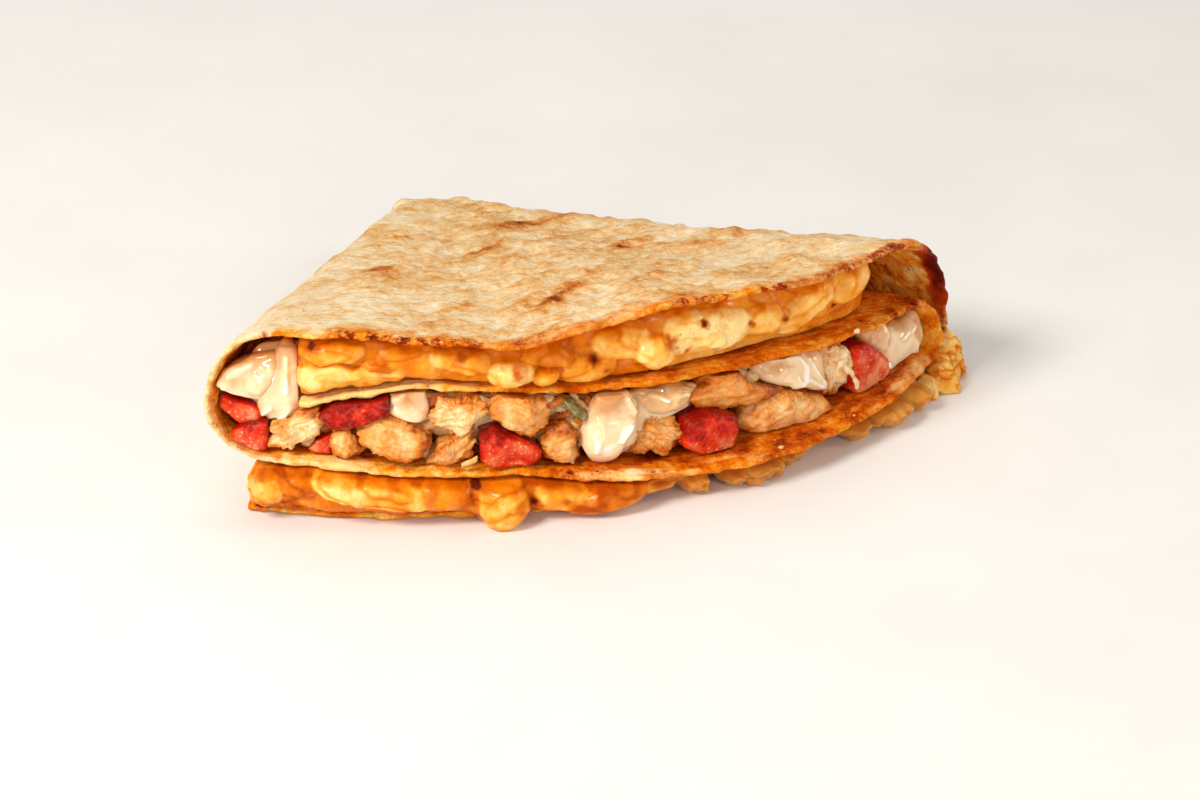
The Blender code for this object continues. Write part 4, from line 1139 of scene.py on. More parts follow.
def build_cheese_lower(material):
    """Melted cheese between layers 3 and 4. It hangs over the rim of layer 4 and drips to the ground."""
    angle = np.arange(SLIT_BOTTOM, LOWER_END, CHEESE_STEP)[:, None]
    wave = at(angle[:, 0], RADIUS, 4.0)
    base = SHEET + GAP
    rim = smooth(RIM[4], angle)
    top_rim = np.minimum(smooth(RIM[3], angle), rim + LOWER_LEAN)
    from_slit = angle - SLIT_BOTTOM
    ragged = soft_step(angle, 1, 8)
    drip = np.zeros(angle.shape)
    for a, half in DRIPS:
        frayed = 1 + 0.55 * rough(wave + a, 1.6, 3, 133)[:, None] * ragged
        drip = np.maximum(drip, np.exp(-(((angle - a) * frayed / half) ** 4)))
    hanging = base - 0.5 + 0.5 * rough(wave, 3.0, 2, 121)[:, None]
    foot = np.maximum(hanging - (hanging - DRIP_FOOT) * drip, DRIP_FOOT)
    highest = height(3, angle, top_rim) - FOOD_CLEAR + SNUG - 1.6 * np.exp(-from_slit / 0.6)
    band = Front(LOWER_FEATURES, angle, foot, highest, LOWER_ROWS, 120)
    share, spot = band.share, band.spot
    flutes = rough(spot * (1, 1, 0.35), 2.2, 3, 128)
    lace = 1.5 * flutes + 0.9 * np.abs(rough(spot, 1.7, 2, 130)) + 0.5 * rough(spot, 1.0, 2, 137) - 0.8
    lace = lace + 1.2 * rough(wave, 4.0, 2, 131)[:, None]
    out = band.out + lace * ragged
    out = out + 0.9 * np.abs(rough(spot, 2.0, 2, 129)) * soft_step(angle, -28, -33)
    front = rim + LOWER_STAND - 0.8 + (top_rim - rim) * share + band.plump(1.2) + out * (1 - 0.35 * share)
    front = front + band.uneven(0.08, 6.0)
    front = front - 0.2 * bell(band.creases, 0.05) - 1.2 * soft_step(share, 0.93, 1.0)
    front = front - 2.6 * np.exp(-from_slit / 0.5) * (0.4 + share)
    front = np.maximum(front, rim + 0.5)
    back, back_top = LOWER_SHARES[None] * rim, LOWER_SHARES[None] * top_rim
    low_radius = np.concatenate([back, rim + GAP, rim + GAP], 1)
    low_z = np.concatenate([np.full(back.shape, base), np.full(rim.shape, base), foot], 1)
    high_z = height(3, angle, back_top) - FOOD_CLEAR
    radius = there_and_back(low_radius, front, back_top)
    z = there_and_back(low_z, band.z, high_z)

    # Deeper amber on the top rows, as painted shade under the rim of layer 3
    tone = band.amber(0.76, 0.68, 0.2, 4.0, 0.3) + 0.3 * soft_step(share, 0.8, 1.0)
    tone = tone + 0.1 * soft_step(share, 0.2, 0.0) + 0.05 * soft_step(angle, -30.5, -33.5)
    # At the right: deeper amber as painted shade, and paler lowest rows as painted highlights along the
    # drips' lower edges
    tone = tone + (0.2 + 0.3 * flutes - 0.35 * soft_step(share, 0.3, 0.0)) * soft_step(angle, -1, 8)
    before, after = low_radius.shape[1], back_top.shape[1]
    values = {
        "amber": flanked(tone, before, after, 0.6),
        "browned": flanked(band.browned(LOWER_SPOTS, 0.3, 0.3), before, after, 0.0),
        "thin": np.full(z.shape, soft_step(angle, -2, 8)),
    }
    sections = at(angle, radius, z, END_BULGE * np.exp(-from_slit / END_FADE))
    sections, values = round_end(sections, values, angle[0], radius[0], z[0])
    points, faces = loft(sections)
    new_piece("cheese_under", points, faces, material, ("cheese_lower",), values)


# The crisp cheese outside the inner fold: distance from that fold's line, its top, and the radii of its front
# at the top and at the foot
CRISP = [
    (-3.4, 4.0, 130.6, 132.4), (0.6, 5.0, 131.0, 132.5), (1.4, 5.2, 131.0, 133.0), (3.4, 6.2, 131.5, 135.5),
    (5.4, 9.0, 131.0, 135.2), (7.6, 13.4, 129.6, 133.0), (9.2, 11.6, 130.2, 132.6), (11.2, 9.4, 130.6, 132.0),
    (12.2, 6.2, 130.8, 132.0), (13.8, 3.6, 130.0, 131.4),
]
# Its back, the radius where it passes below the fold and its gap to it, and its rows and columns
CRISP_BACK, CRISP_RADIUS, CRISP_GAP, CRISP_ROWS, CRISP_COLUMNS = 127.4, 129.5, 0.65, 36, 80


def build_cheese_crisp(material):
    """The lace of cheese that ran out of the fold at the right and fried crisp."""
    fold = FOLDS["inner"]
    stations, *columns = np.array(CRISP).T
    side = np.linspace(stations[0], stations[-1], CRISP_COLUMNS)
    top, high_front, low_front = (np.interp(side, stations, column) for column in columns)
    wave = np.stack([side, side * 0, side * 0], -1)
    top = top + 1.3 * rough(wave, 2.0, 3, 131) - 0.4
    lowest, wide, _ = fold.heights(CRISP_RADIUS)
    below = np.clip(side / (fold.reach(CRISP_RADIUS) + HALF + CRISP_GAP), 0, 1)
    roof = wide - (wide - lowest + HALF + CRISP_GAP) * np.sqrt(1 - below * below)
    top = np.where(below < 1, np.minimum(top, roof), top)[:, None]
    up = np.linspace(0, 1, CRISP_ROWS)[None]
    z = between(DRIP_FOOT, top, up)
    spot = np.stack(np.broadcast_arrays(side[:, None], 0.0, z), -1)
    veins = np.abs(rough(spot, 3.4, 2, 132))
    bubbles = soft_step(rough(spot, 2.8, 2, 133), 0.0, 0.7)
    front = between(low_front[:, None], high_front[:, None], up)
    front = front + 0.8 * bubbles - 0.7 * bell(veins, 0.12) - 0.6 + 0.4 * rough(spot, 1.2, 2, 134)
    front = front - soft_step(up, 0.85, 1.0) - 0.8 * soft_step(np.abs(up - 0.5), 0.42, 0.5)
    front = np.maximum(front, CRISP_BACK + 0.7)
    back = CRISP_BACK + 0.4 * rough(spot, 3.0, 2, 135)
    amber = 0.24 + 0.5 * bell(veins, 0.14) + 0.3 * rough(spot, 4.0, 2, 136)
    values = {
        "amber": amber + 0.2 * soft_step(side, 8, 13)[:, None],
        "browned": 0.5 * soft_step(rough(spot, 2.6, 3, 137), 0.2, 0.8) + 0.3 * soft_step(up, 0.9, 1.0),
        "thin": np.full(z.shape, 0.2),
    }
    values = {key: np.concatenate([numbers, numbers[:, ::-1]], 1) for key, numbers in values.items()}
    radius = np.concatenate([front, back[:, ::-1]], 1)
    heights = np.concatenate([z, z[:, ::-1]], 1)
    points, faces = loft(at(fold.angle, radius, heights, side[:, None]))
    new_piece("cheese_crisp", points, faces, material, ("cheese_lower",), values)


def cheese_material():
    """Melted cheese: creamy where thick, amber where thin and as painted shade under the rims above, paler as
    painted light in some shaded places, browned in spots, glossy with fat.
    """
    g = Graph("cheese_melted")
    fine = g.noise(1.3, 4.0, 0.6)
    cloud = g.noise(5.0, 3.0, 0.55)
    amber = g.vary(g.number("amber"), cloud, 0.1)
    amber = g.vary(amber, fine, 0.05)
    colour = g.ramp(amber, [
        (0.0, (255, 224, 152)), (0.22, (252, 194, 96)), (0.42, (240, 156, 34)), (0.66, (220, 116, 4)),
        (1.0, (176, 72, 2)),
    ])
    colour = g.mix(g.times(g.number("thin"), 0.7), colour, tint(204, 146, 62))
    browned = g.vary(g.number("browned"), fine, 0.12)
    colour = g.mix(g.span(browned, 0.05, 0.9), colour, tint(196, 92, 10))
    colour = g.mix(g.span(browned, 0.75, 1.3), colour, tint(96, 22, 4))
    specks = g.times(g.span(g.spots(1.6), 0.08, 0.2, 1.0, 0.0), g.span(g.noise(6.0, 2.0), 0.52, 0.62))
    colour = g.mix(g.times(specks, 0.6), colour, tint(170, 84, 16))
    relief = g.bump(fine, 0.12)
    relief = g.bump(cloud, 0.35, relief)
    gloss = g.span(g.noise(2.6, 3.0), 0.35, 0.65, 0.22, 0.42)
    wet = g.times(g.span(g.noise(2.0, 3.0), 0.46, 0.54), g.span(amber, 0.5, 0.95, 1.0, 0.0))
    wet = g.times(wet, g.span(browned, 0.3, 0.8, 1.0, 0.0))
    wet = g.math("MAXIMUM", wet, g.times(g.number("thin"), 0.9))
    return g.finish(Base_Color=colour, Roughness=gloss, Normal=relief, Subsurface_Weight=0.35,
                    Subsurface_Radius=(1.0, 0.45, 0.12), Subsurface_Scale=0.003, Specular_IOR_Level=0.16,
                    Specular_Tint=(1.0, 0.75, 0.4), Coat_Weight=wet, Coat_Roughness=0.04,
                    Coat_IOR=1.38, Coat_Tint=(1.0, 0.95, 0.85), Coat_Normal=relief)


def round_grid(count):
    """Directions over a ball from the six faces of a cube, with their quads."""
    steps = np.tan(np.linspace(-math.pi / 4, math.pi / 4, count + 1))
    a, b = np.meshgrid(steps, steps, indexing="ij")
    one = np.ones_like(a)
    faces, points = [], []
    index = np.arange((count + 1) ** 2).reshape(count + 1, count + 1)
    quads = np.stack([index[:-1, :-1], index[1:, :-1], index[1:, 1:], index[:-1, 1:]], -1).reshape(-1, 4)
    for x, y, z in ((one, a, b), (-one, b, a), (b, one, a), (a, -one, b), (a, b, one), (b, a, -one)):
        faces.append(quads + len(points) * index.size)
        points.append(np.stack([x, y, z], -1).reshape(-1, 3))
    points = np.concatenate(points)
    points /= np.linalg.norm(points, axis=1, keepdims=True)
    _, first, same = np.unique(np.round(points, 6), axis=0, return_index=True, return_inverse=True)
    return points[first], same.reshape(-1)[np.concatenate(faces)]


# What counts as nothing, and how far past its ends a side still counts
NOTHING, SLACK = 1e-9, 1e-6
# Directions in which an outline's reach is measured
OUTLINE_TURNS = 360


def outline_reach(corners, turns):
    """How far an outline round 0, 0 reaches in each direction."""
    ray = np.stack([np.cos(turns), np.sin(turns)], -1)[:, None]
    side = np.roll(corners, -1, 0) - corners
    cross = ray[..., 0] * side[:, 1] - ray[..., 1] * side[:, 0]
    cross = np.where(np.abs(cross) < NOTHING, NOTHING, cross)
    along = (corners[:, 0] * side[:, 1] - corners[:, 1] * side[:, 0]) / cross
    share = (corners[:, 0] * ray[..., 1] - corners[:, 1] * ray[..., 0]) / cross
    on_side = (along > 0) & (share >= -SLACK) & (share <= 1 + SLACK)
    return np.where(on_side, along, 0).max(1)


def rounded_reach(corners, rounding, turn):
    """The reach in these directions with its corners rounded off, and the furthest reach."""
    turns = np.linspace(0, 2 * math.pi, OUTLINE_TURNS, endpoint=False)
    reach = outline_reach(corners, turns)
    width = rounding * 2 + 1
    looped = np.concatenate([reach[-width:], reach, reach[:width]])
    reach = np.convolve(looped, np.ones(width) / width, "same")[width:-width]
    return np.interp(turn, np.append(turns, 2 * math.pi), np.append(reach, reach[0])), max(reach.max(), 1)


# How far the filling stays from the middle of the sheet, and how much of a fold's depth it may take up
POCKET_CLEAR, FOLD_FILL = HALF + 0.2, 0.97
# How far in front of the slit, in degrees, the pocket's roof is still layer 1
SLIT_CLEAR = 0.25
# How much the squashed foot of a piece draws back, and the squashing beyond which it draws back no further
DRAW_BACK, MOST_SQUASHED = 0.9, 3.0


def pocket(angle, radius, side):
    """Lowest and highest height free between layers 3 and 2, and in the folds at either end."""
    low = height(3, angle, radius) + POCKET_CLEAR
    roof = np.where(angle > SLIT_TOP - SLIT_CLEAR, height(2, angle, radius), height(1, angle, radius))
    high = roof - POCKET_CLEAR
    for name in ("left", "inner"):
        fold = FOLDS[name]
        foot, wide, top = fold.heights(radius)
        share = np.clip(side * fold.side / (fold.reach(radius) - POCKET_CLEAR), 0, 1)
        room = np.sqrt(1 - share * share)
        low = np.where(share > 0, wide - (wide - foot - POCKET_CLEAR) * room, low)
        high = np.where(share > 0, wide + (top - wide - POCKET_CLEAR) * room, high)
    return low, high


def into_pocket(angle, radius, z):
    """Places between the layers nearest to these, as points."""
    side, flat_angle = np.zeros(angle.shape), angle
    for name in ("left", "inner"):
        fold = FOLDS[name]
        past = (angle - fold.angle) * fold.side
        most = (fold.reach(radius) - HALF - GAP) * FOLD_FILL
        here = np.minimum(radius * np.sin(np.radians(np.maximum(past, 0))), most)
        side = np.where(past > 0, fold.side * here, side)
        flat_angle = np.where(past > 0, fold.angle, flat_angle)
    low, _ = pocket(flat_angle, radius, side)
    radius = radius - DRAW_BACK * np.clip(low - z, 0, MOST_SQUASHED)
    low, high = pocket(flat_angle, radius, side)
    return at(flat_angle, radius, np.clip(z, np.minimum(low, high), np.maximum(low, high)), side)


class Piece:
    """A piece of the filling: its kind, the radius of its middle, its depth, the lean of its fibres in
    degrees, the seed of its relief and its outline in the photo's pixels."""

    def __init__(self, kind, radius, depth, lean, seed, outline):
        self.kind, self.radius, self.depth = kind, radius, depth
        self.lean, self.seed, self.outline = math.radians(lean), seed, outline


PIECES = {
    "sauce_pool_left": Piece("sauce", 120.0, 9.0, 0, 44, [
        (210, 386), (226, 370), (248, 360), (270, 359), (280, 370), (273, 391), (261, 403), (246, 400),
        (226, 394)]),
    "sauce_run_left": Piece("sauce", 119.6, 7.6, 60, 45, [
        (276, 344), (290, 346), (298, 362), (300, 385), (298, 404), (296, 418), (283, 425), (264, 421),
        (254, 408), (256, 392), (268, 372)]),
    "tomato_left_back": Piece("tomato", 118.5, 7.0, 0, 12, [
        (222, 393), (254, 404), (262, 410), (262, 421), (241, 423), (230, 414), (219, 402)]),
    "tomato_left": Piece("tomato", 120.0, 8.0, 0, 11, [
        (231, 430), (246, 423), (267, 421), (267, 449), (251, 452), (231, 449)]),
    "chicken_left": Piece("flaky", 120.5, 9.5, 30, 21, [
        (263, 428), (274, 423), (292, 415), (315, 411), (327, 423), (319, 434), (313, 444), (304, 450),
        (286, 455), (272, 455), (263, 449), (267, 437)]),
    "tomato_long": Piece("tomato", 120.5, 8.5, 9, 13, [
        (317, 417), (333, 404), (362, 396), (388, 395), (389, 416), (368, 424), (347, 431), (330, 429)]),
    "tomato_small": Piece("tomato", 119.5, 5.0, 20, 18, [
        (307, 449), (319, 439), (333, 432), (331, 454), (316, 454)]),
    "chicken_small": Piece("chunk", 121.5, 8.0, 70, 23, [
        (331, 435), (346, 433), (356, 443), (359, 457), (347, 463), (333, 462), (327, 444)]),
    "chicken_smooth": Piece("chunk", 121.5, 10.5, -18, 22, [
        (355, 433), (368, 424), (391, 421), (406, 428), (424, 439), (431, 449), (422, 462), (413, 469),
        (397, 467), (370, 459), (359, 453)]),
    "sauce_bead": Piece("sauce", 120.5, 7.5, 0, 46, [
        (388, 396), (427, 396), (430, 412), (421, 425), (411, 422), (398, 418), (388, 413)]),
    "chicken_shreds": Piece("flaky", 120.0, 9.0, 20, 24, [
        (428, 415), (438, 403), (466, 402), (488, 405), (490, 418), (482, 428), (471, 436), (457, 438),
        (443, 433), (430, 427)]),
    "chicken_flakes": Piece("flaky", 121.0, 9.0, 35, 25, [
        (425, 467), (440, 450), (458, 439), (474, 433), (482, 443), (476, 451), (471, 461), (457, 469),
        (442, 475), (430, 471)]),
    "tomato_middle": Piece("tomato", 121.0, 9.0, -5, 14, [
        (479, 436), (494, 432), (520, 440), (543, 450), (542, 458), (527, 466), (494, 469), (481, 460)]),
    "chicken_round": Piece("chunk", 120.5, 10.0, -30, 26, [
        (493, 410), (504, 401), (530, 402), (551, 406), (557, 418), (550, 433), (537, 443), (521, 442),
        (506, 433), (492, 421)]),
    "chicken_low": Piece("chunk", 121.0, 9.5, 20, 27, [
        (541, 447), (552, 433), (567, 429), (584, 436), (580, 449), (584, 463), (578, 470), (558, 466),
        (546, 459)]),
    "pepper_green": Piece("pepper", 121.5, 5.0, -30, 17, [
        (564, 402), (575, 405), (590, 417), (589, 424), (579, 421), (568, 412)]),
    "sauce_drop": Piece("sauce", 122.5, 9.0, 70, 41, [
        (588, 452), (590, 428), (600, 407), (614, 398), (636, 396), (643, 415), (635, 436), (625, 457),
        (616, 467), (604, 468), (593, 462)]),
    "sauce_spread": Piece("thin_sauce", 119.5, 8.0, 20, 47, [
        (632, 397), (660, 392), (690, 387), (702, 390), (698, 402), (682, 412), (664, 420), (645, 418)]),
    "chicken_frayed": Piece("flaky", 121.0, 9.0, -25, 28, [
        (628, 462), (636, 441), (650, 420), (676, 420), (689, 437), (678, 445), (673, 459), (660, 457),
        (648, 453), (640, 463)]),
    "tomato_right": Piece("tomato", 122.0, 10.0, -4, 15, [
        (689, 424), (712, 414), (736, 415), (739, 430), (733, 453), (720, 462), (696, 455), (684, 448)]),
    "chicken_slice": Piece("chunk", 121.0, 9.5, 8, 29, [
        (690, 405), (711, 391), (720, 377), (744, 375), (762, 387), (792, 388), (791, 396), (763, 408),
        (733, 414), (702, 414)]),
    "chicken_large": Piece("chunk", 122.0, 11.0, 16, 30, [
        (744, 434), (761, 411), (779, 402), (801, 392), (828, 398), (841, 409), (836, 421), (805, 431),
        (779, 440), (758, 443)]),
    "sauce_spill": Piece("sauce", 120.5, 9.0, -20, 42, [
        (757, 372), (779, 360), (808, 353), (831, 356), (833, 387), (824, 394), (800, 387), (770, 387)]),
    "chicken_strands": Piece("flaky", 121.0, 9.0, 80, 31, [
        (829, 350), (845, 343), (858, 352), (856, 368), (853, 386), (843, 403), (831, 399), (827, 372)]),
    "tomato_end": Piece("tomato", 122.0, 9.0, 70, 16, [
        (853, 352), (868, 343), (888, 358), (890, 378), (882, 392), (891, 403), (872, 404), (852, 390),
        (856, 372)]),
    "sauce_pool_right": Piece("sauce", 121.5, 10.5, 60, 43, [
        (864, 335), (886, 321), (894, 326), (905, 327), (916, 323), (924, 312), (931, 313), (936, 335),
        (932, 361), (914, 385), (899, 391), (888, 379), (886, 360), (874, 346)]),
}


# Ridges on the sauce, which catch the light and are painted paler along them as painted highlights, as lines
# in the photo's pixels, with their half width and height in millimetres
RIDGES = {
    "sauce_pool_left": [
        [(227, 386), (234, 393), (245, 398), (254, 402), (260, 402)], [(232, 376), (250, 368)]],
    "sauce_run_left": [[(263, 413), (271, 406)], [(280, 420), (289, 408)], [(284, 362), (286, 392)]],
    "sauce_bead": [[(394, 404), (404, 400)]],
    "sauce_drop": [[(598, 452), (599, 444)], [(632, 404), (637, 416)], [(622, 440), (630, 428)]],
    "sauce_spread": [[(654, 397), (669, 402)], [(676, 398), (688, 396)]],
    "sauce_spill": [
        [(779, 364), (804, 361), (810, 369), (807, 381), (796, 386)],
        [(797, 386), (810, 380), (820, 386), (827, 389)], [(813, 362), (817, 372), (825, 384)]],
    "sauce_pool_right": [
        [(893, 326), (894, 333), (892, 339)], [(917, 328), (906, 341)], [(917, 342), (914, 356), (906, 370)],
        [(889, 366), (901, 375), (914, 371)], [(870, 331), (885, 325)]],
}
RIDGE_HALF, RIDGE_TALL = 0.6, 0.7


def ridged(lines, x, z, radius, angle, middle):
    """1 along the ridges, falling to 0 beside them, for places on a piece round this angle and height."""
    total = np.zeros(x.shape)
    for line in lines:
        angles, heights = on_front(line, radius)
        ends = np.stack([np.radians(angles - angle) * radius, heights - middle], -1)
        for a, b in zip(ends[:-1], ends[1:]):
            way = b - a
            along = np.clip(((x - a[0]) * way[0] + (z - a[1]) * way[1]) / (way @ way), 0, 1)
            away = np.hypot(x - a[0] - along * way[0], z - a[1] - along * way[1])
            total = np.maximum(total, bell(away, RIDGE_HALF))
    return total


class Kind:
    """How pieces of one kind look: how round their outline and their front are (2 is a ball), their cells
    along an edge, how far their outline is rounded off, the material slot, the name of their material and how
    frayed their outline is."""

    def __init__(self, outline, front, cells, rounding, slot, finish, fray=0.0):
        self.outline, self.front, self.cells = outline, front, cells
        self.rounding, self.slot, self.finish, self.fray = rounding, slot, finish, fray


KINDS = {
    "chunk": Kind(4.5, 3.4, 50, 2, "chicken", "chicken", 0.08),
    "flaky": Kind(4.0, 3.2, 54, 1, "chicken", "chicken", 0.11),
    "tomato": Kind(7.0, 6.0, 40, 3, "tomato", "tomato"),
    "pepper": Kind(2.4, 2.4, 22, 4, "green_pepper", "pepper"),
    "sauce": Kind(2.6, 2.5, 56, 9, "white_sauce", "sauce"),
    "thin_sauce": Kind(2.6, 2.5, 30, 9, "white_sauce", "thin_sauce"),
}


def along_fibres(place, lean, bend, bend_size, sizes, seed):
    """Places along, through and across the fibres, which bend a little, in sizes."""
    along, across = turned(place[:, 0], place[:, 2], lean)
    across = across + bend * ripple(place / bend_size, seed + 3)
    return np.stack([along, place[:, 1], across], -1) / sizes


def fibres(place, lean, length, width, seed):
    """Noise drawn out along the fibres."""
    return ripple(along_fibres(place, lean, 0.8, 5.0, (length, width, width), seed), seed)


def plates(place, lean, seed):
    """Torn flakes laid along the fibres: how far each stands out, and 1 in the creases between them."""
    near, second = cells(along_fibres(place, lean, 0.5, 4.0, (8.0, 3.0, 2.0), seed), 1.0, seed)
    return np.minimum(second - near, 0.5) - 0.25, 1 - soft_step(second - near, 0.0, 0.16)


# How many steps a flaky piece has for each unit of its noise
FLAKE_STEPS = 2.2


def surface_relief(kind, place, lean, seed):
    """How far the surface of a piece stands out, and how light or golden it is there."""
    if kind in ("sauce", "thin_sauce"):
        swirl = ripple(place / 5.5, seed)
        ridge = bell(ripple(place / 5.5, seed + 1), 0.2) * soft_step(swirl, -0.3, 0.5)
        return 0.5 * swirl + 0.5 * ridge, 0.3 + 0.2 * swirl
    if kind in ("tomato", "pepper"):
        flesh = rough(place, 1.5, 2, seed)
        front = soft_step(-place[:, 1] / np.abs(place[:, 1]).max(), 0.2, 0.8)
        tone = 0.34 + 0.4 * rough(place, 4.0, 3, seed + 2) + 0.3 * front
        return 0.3 * rough(place, 5.0, 2, seed + 1) + 0.1 * flesh, tone
    strand = fibres(place, lean, 8.0, 1.5, seed)
    fine = fibres(place, lean, 5.0, 0.7, seed + 5)
    side = turned(place[:, 0], place[:, 2], 3 * lean)[0] / np.abs(place).max()
    lumps = rough(place, 5.0, 2, seed + 9)
    grit = rough(place, 1.1, 2, seed + 13)
    gold = soft_step(rough(place, 3.6, 3, seed + 15), 0.05, 0.5)
    raised, crease = plates(place, lean, seed + 7)
    if kind == "chunk":
        tissue = rough(place, 2.4, 2, seed + 17)
        lift = 0.5 * lumps + 0.24 * strand + 0.14 * fine + 0.06 * grit + 0.5 * raised + 0.34 * tissue
        # The creases between flakes are painted deeper, as painted shade in them
        tone = 0.2 + 0.1 * lumps + 0.08 * strand + 0.05 * fine + 0.06 * crease + 0.08 * tissue
        return lift, tone + 0.1 * gold + 0.2 * soft_step(side + 0.3 * lumps, 0.0, 0.8)
    steps = (1.6 * rough(place, 4.2, 2, seed + 11) + 0.7 * strand) * FLAKE_STEPS
    whole = np.floor(steps)
    flake = whole / FLAKE_STEPS + soft_step(steps - whole, 0.72, 1.0) / FLAKE_STEPS
    edges = soft_step(steps - whole, 0.7, 0.95)
    lift = 0.6 * flake + 0.3 * strand + 0.22 * fine + 0.3 * lumps + 0.05 * grit + 0.6 * raised
    # The creases between flakes are painted deeper, as painted shade in them
    tone = 0.1 + 0.1 * lumps + 0.14 * strand + 0.1 * fine + 0.12 * edges + 0.1 * crease
    return lift, tone + 0.1 * gold + 0.28 * soft_step(side + 0.3 * lumps, 0.1, 0.8)


# How much deeper in colour, or paler, some pieces are (the left pool's deeper tone is painted shade, the
# drop's paler tone partly a painted highlight), and how much deeper all chicken to the right of the middle is
# painted, as painted shade away from the key light at the left
SHADES = {
    "chicken_low": 0.1, "chicken_frayed": 0.14, "chicken_flakes": 0.2, "chicken_slice": 0.16,
    "chicken_round": 0.14, "chicken_left": 0.06, "chicken_shreds": 0.02, "chicken_strands": -0.2,
    "chicken_smooth": 0.14, "chicken_small": 0.08, "tomato_long": -0.45, "tomato_end": 0.35,
    "sauce_pool_left": 0.2, "sauce_drop": -0.2, "sauce_spread": 0.12,
}
RIGHT_PAINTED_SHADE = 0.1
# Flat cuts on a chicken piece: how many, how far from its middle, and how sharp their edges are
CUTS, CUT_NEAR, CUT_FAR, CUT_SHARP = 11, 0.7, 0.92, 16
# Where between the middle and the front of a piece its outline lies, as a share of its depth
FACE_SHARE = 0.4


def faceted(places, seed):
    """How far places on a ball shrink where flat cuts take off its roundness."""
    draw = np.random.default_rng(seed)
    total = np.ones(len(places))
    for _ in range(CUTS):
        normal = draw.normal(size=3) - (0.0, 0.6, 0.0)
        normal /= np.linalg.norm(normal)
        total += np.maximum(places @ normal / draw.uniform(CUT_NEAR, CUT_FAR), 0) ** CUT_SHARP
    return total ** (-1 / CUT_SHARP)


def piece_form(piece, corners):
    """A bulging form on an outline: its points and faces, the directions they have on a ball, their share of
    the way from the middle to the outline, and the outline's furthest reach."""
    kind = KINDS[piece.kind]
    ball, faces = round_grid(kind.cells)
    flat = np.hypot(ball[:, 0], ball[:, 2])
    turn = np.arctan2(ball[:, 2], ball[:, 0]) % (2 * math.pi)
    cos, sin = np.cos(turn), np.sin(turn)
    swell = (flat**kind.outline + np.abs(ball[:, 1]) ** kind.front) ** (-1 / kind.front)
    share = np.clip(flat * swell, 0, 1)
    reach, furthest = rounded_reach(corners, kind.rounding, turn)
    local = np.stack([share * reach * cos, ball[:, 1] * swell * piece.depth / 2, share * reach * sin], -1)
    if kind.slot == "white_sauce":
        sag = soft_step(-local[:, 2] / furthest, -0.6, 0.6)
        local[:, 1] *= np.where(local[:, 1] < 0, 0.5 + 0.5 * sag, 1.0)
    if kind.slot == "chicken":
        cut = faceted(np.stack([share * cos, ball[:, 1] * swell, share * sin], -1), piece.seed)
        local[:, 1] *= cut
        local[:, (0, 2)] *= (0.5 + 0.5 * cut)[:, None]
        fray = ripple(np.stack([cos * 5, sin * 5, np.full(turn.shape, piece.seed)], -1), piece.seed)
        fray = fray + 0.6 * ripple(np.stack([cos * 13, sin * 13, local[:, 1] / 3], -1), piece.seed + 1)
        local[:, (0, 2)] *= (1 + kind.fray * fray * share**3)[:, None]
    return local, faces, ball, share, furthest


def build_piece(name, piece, finishes, stands_for=()):
    """One piece of the filling, bulging from its outline."""
    kind = KINDS[piece.kind]
    face_radius = piece.radius + piece.depth * FACE_SHARE
    angles, heights = on_front(piece.outline, face_radius)
    centre_angle = (angles.min() + angles.max()) / 2
    centre_height = (heights.min() + heights.max()) / 2
    corners = np.stack([np.radians(angles - centre_angle) * face_radius, heights - centre_height], -1)
    local, faces, ball, share, furthest = piece_form(piece, corners)
    lift, tone = surface_relief(piece.kind, local, piece.lean, piece.seed * 7)
    if name in RIDGES:
        raised = ridged(RIDGES[name], local[:, 0], local[:, 2], face_radius, centre_angle, centre_height)
        raised = raised * soft_step(-local[:, 1], -0.5, 0.5)
        # Ridges stand out, and their tone is lowered to paint them paler, as painted highlights
        lift, tone = lift + RIDGE_TALL * raised, tone - 0.5 * raised
    local = local + ball * lift[:, None]
    angle = centre_angle + np.degrees(local[:, 0] / face_radius)
    placed = into_pocket(angle, piece.radius - local[:, 1], centre_height + local[:, 2])
    # Chicken right of the middle painted deeper, as painted shade away from the key light
    if kind.slot == "chicken":
        tone = tone + RIGHT_PAINTED_SHADE * soft_step(centre_angle, 0, 12)
    values = {
        "tone": tone + SHADES.get(name, 0.0),
        "rim": soft_step(share, 0.72, 1.0),
        "upper": soft_step(local[:, 2] / furthest, -0.1, 0.7),
    }
    new_piece("food_" + name, placed, faces.tolist(), finishes[kind.finish], stands_for, values)


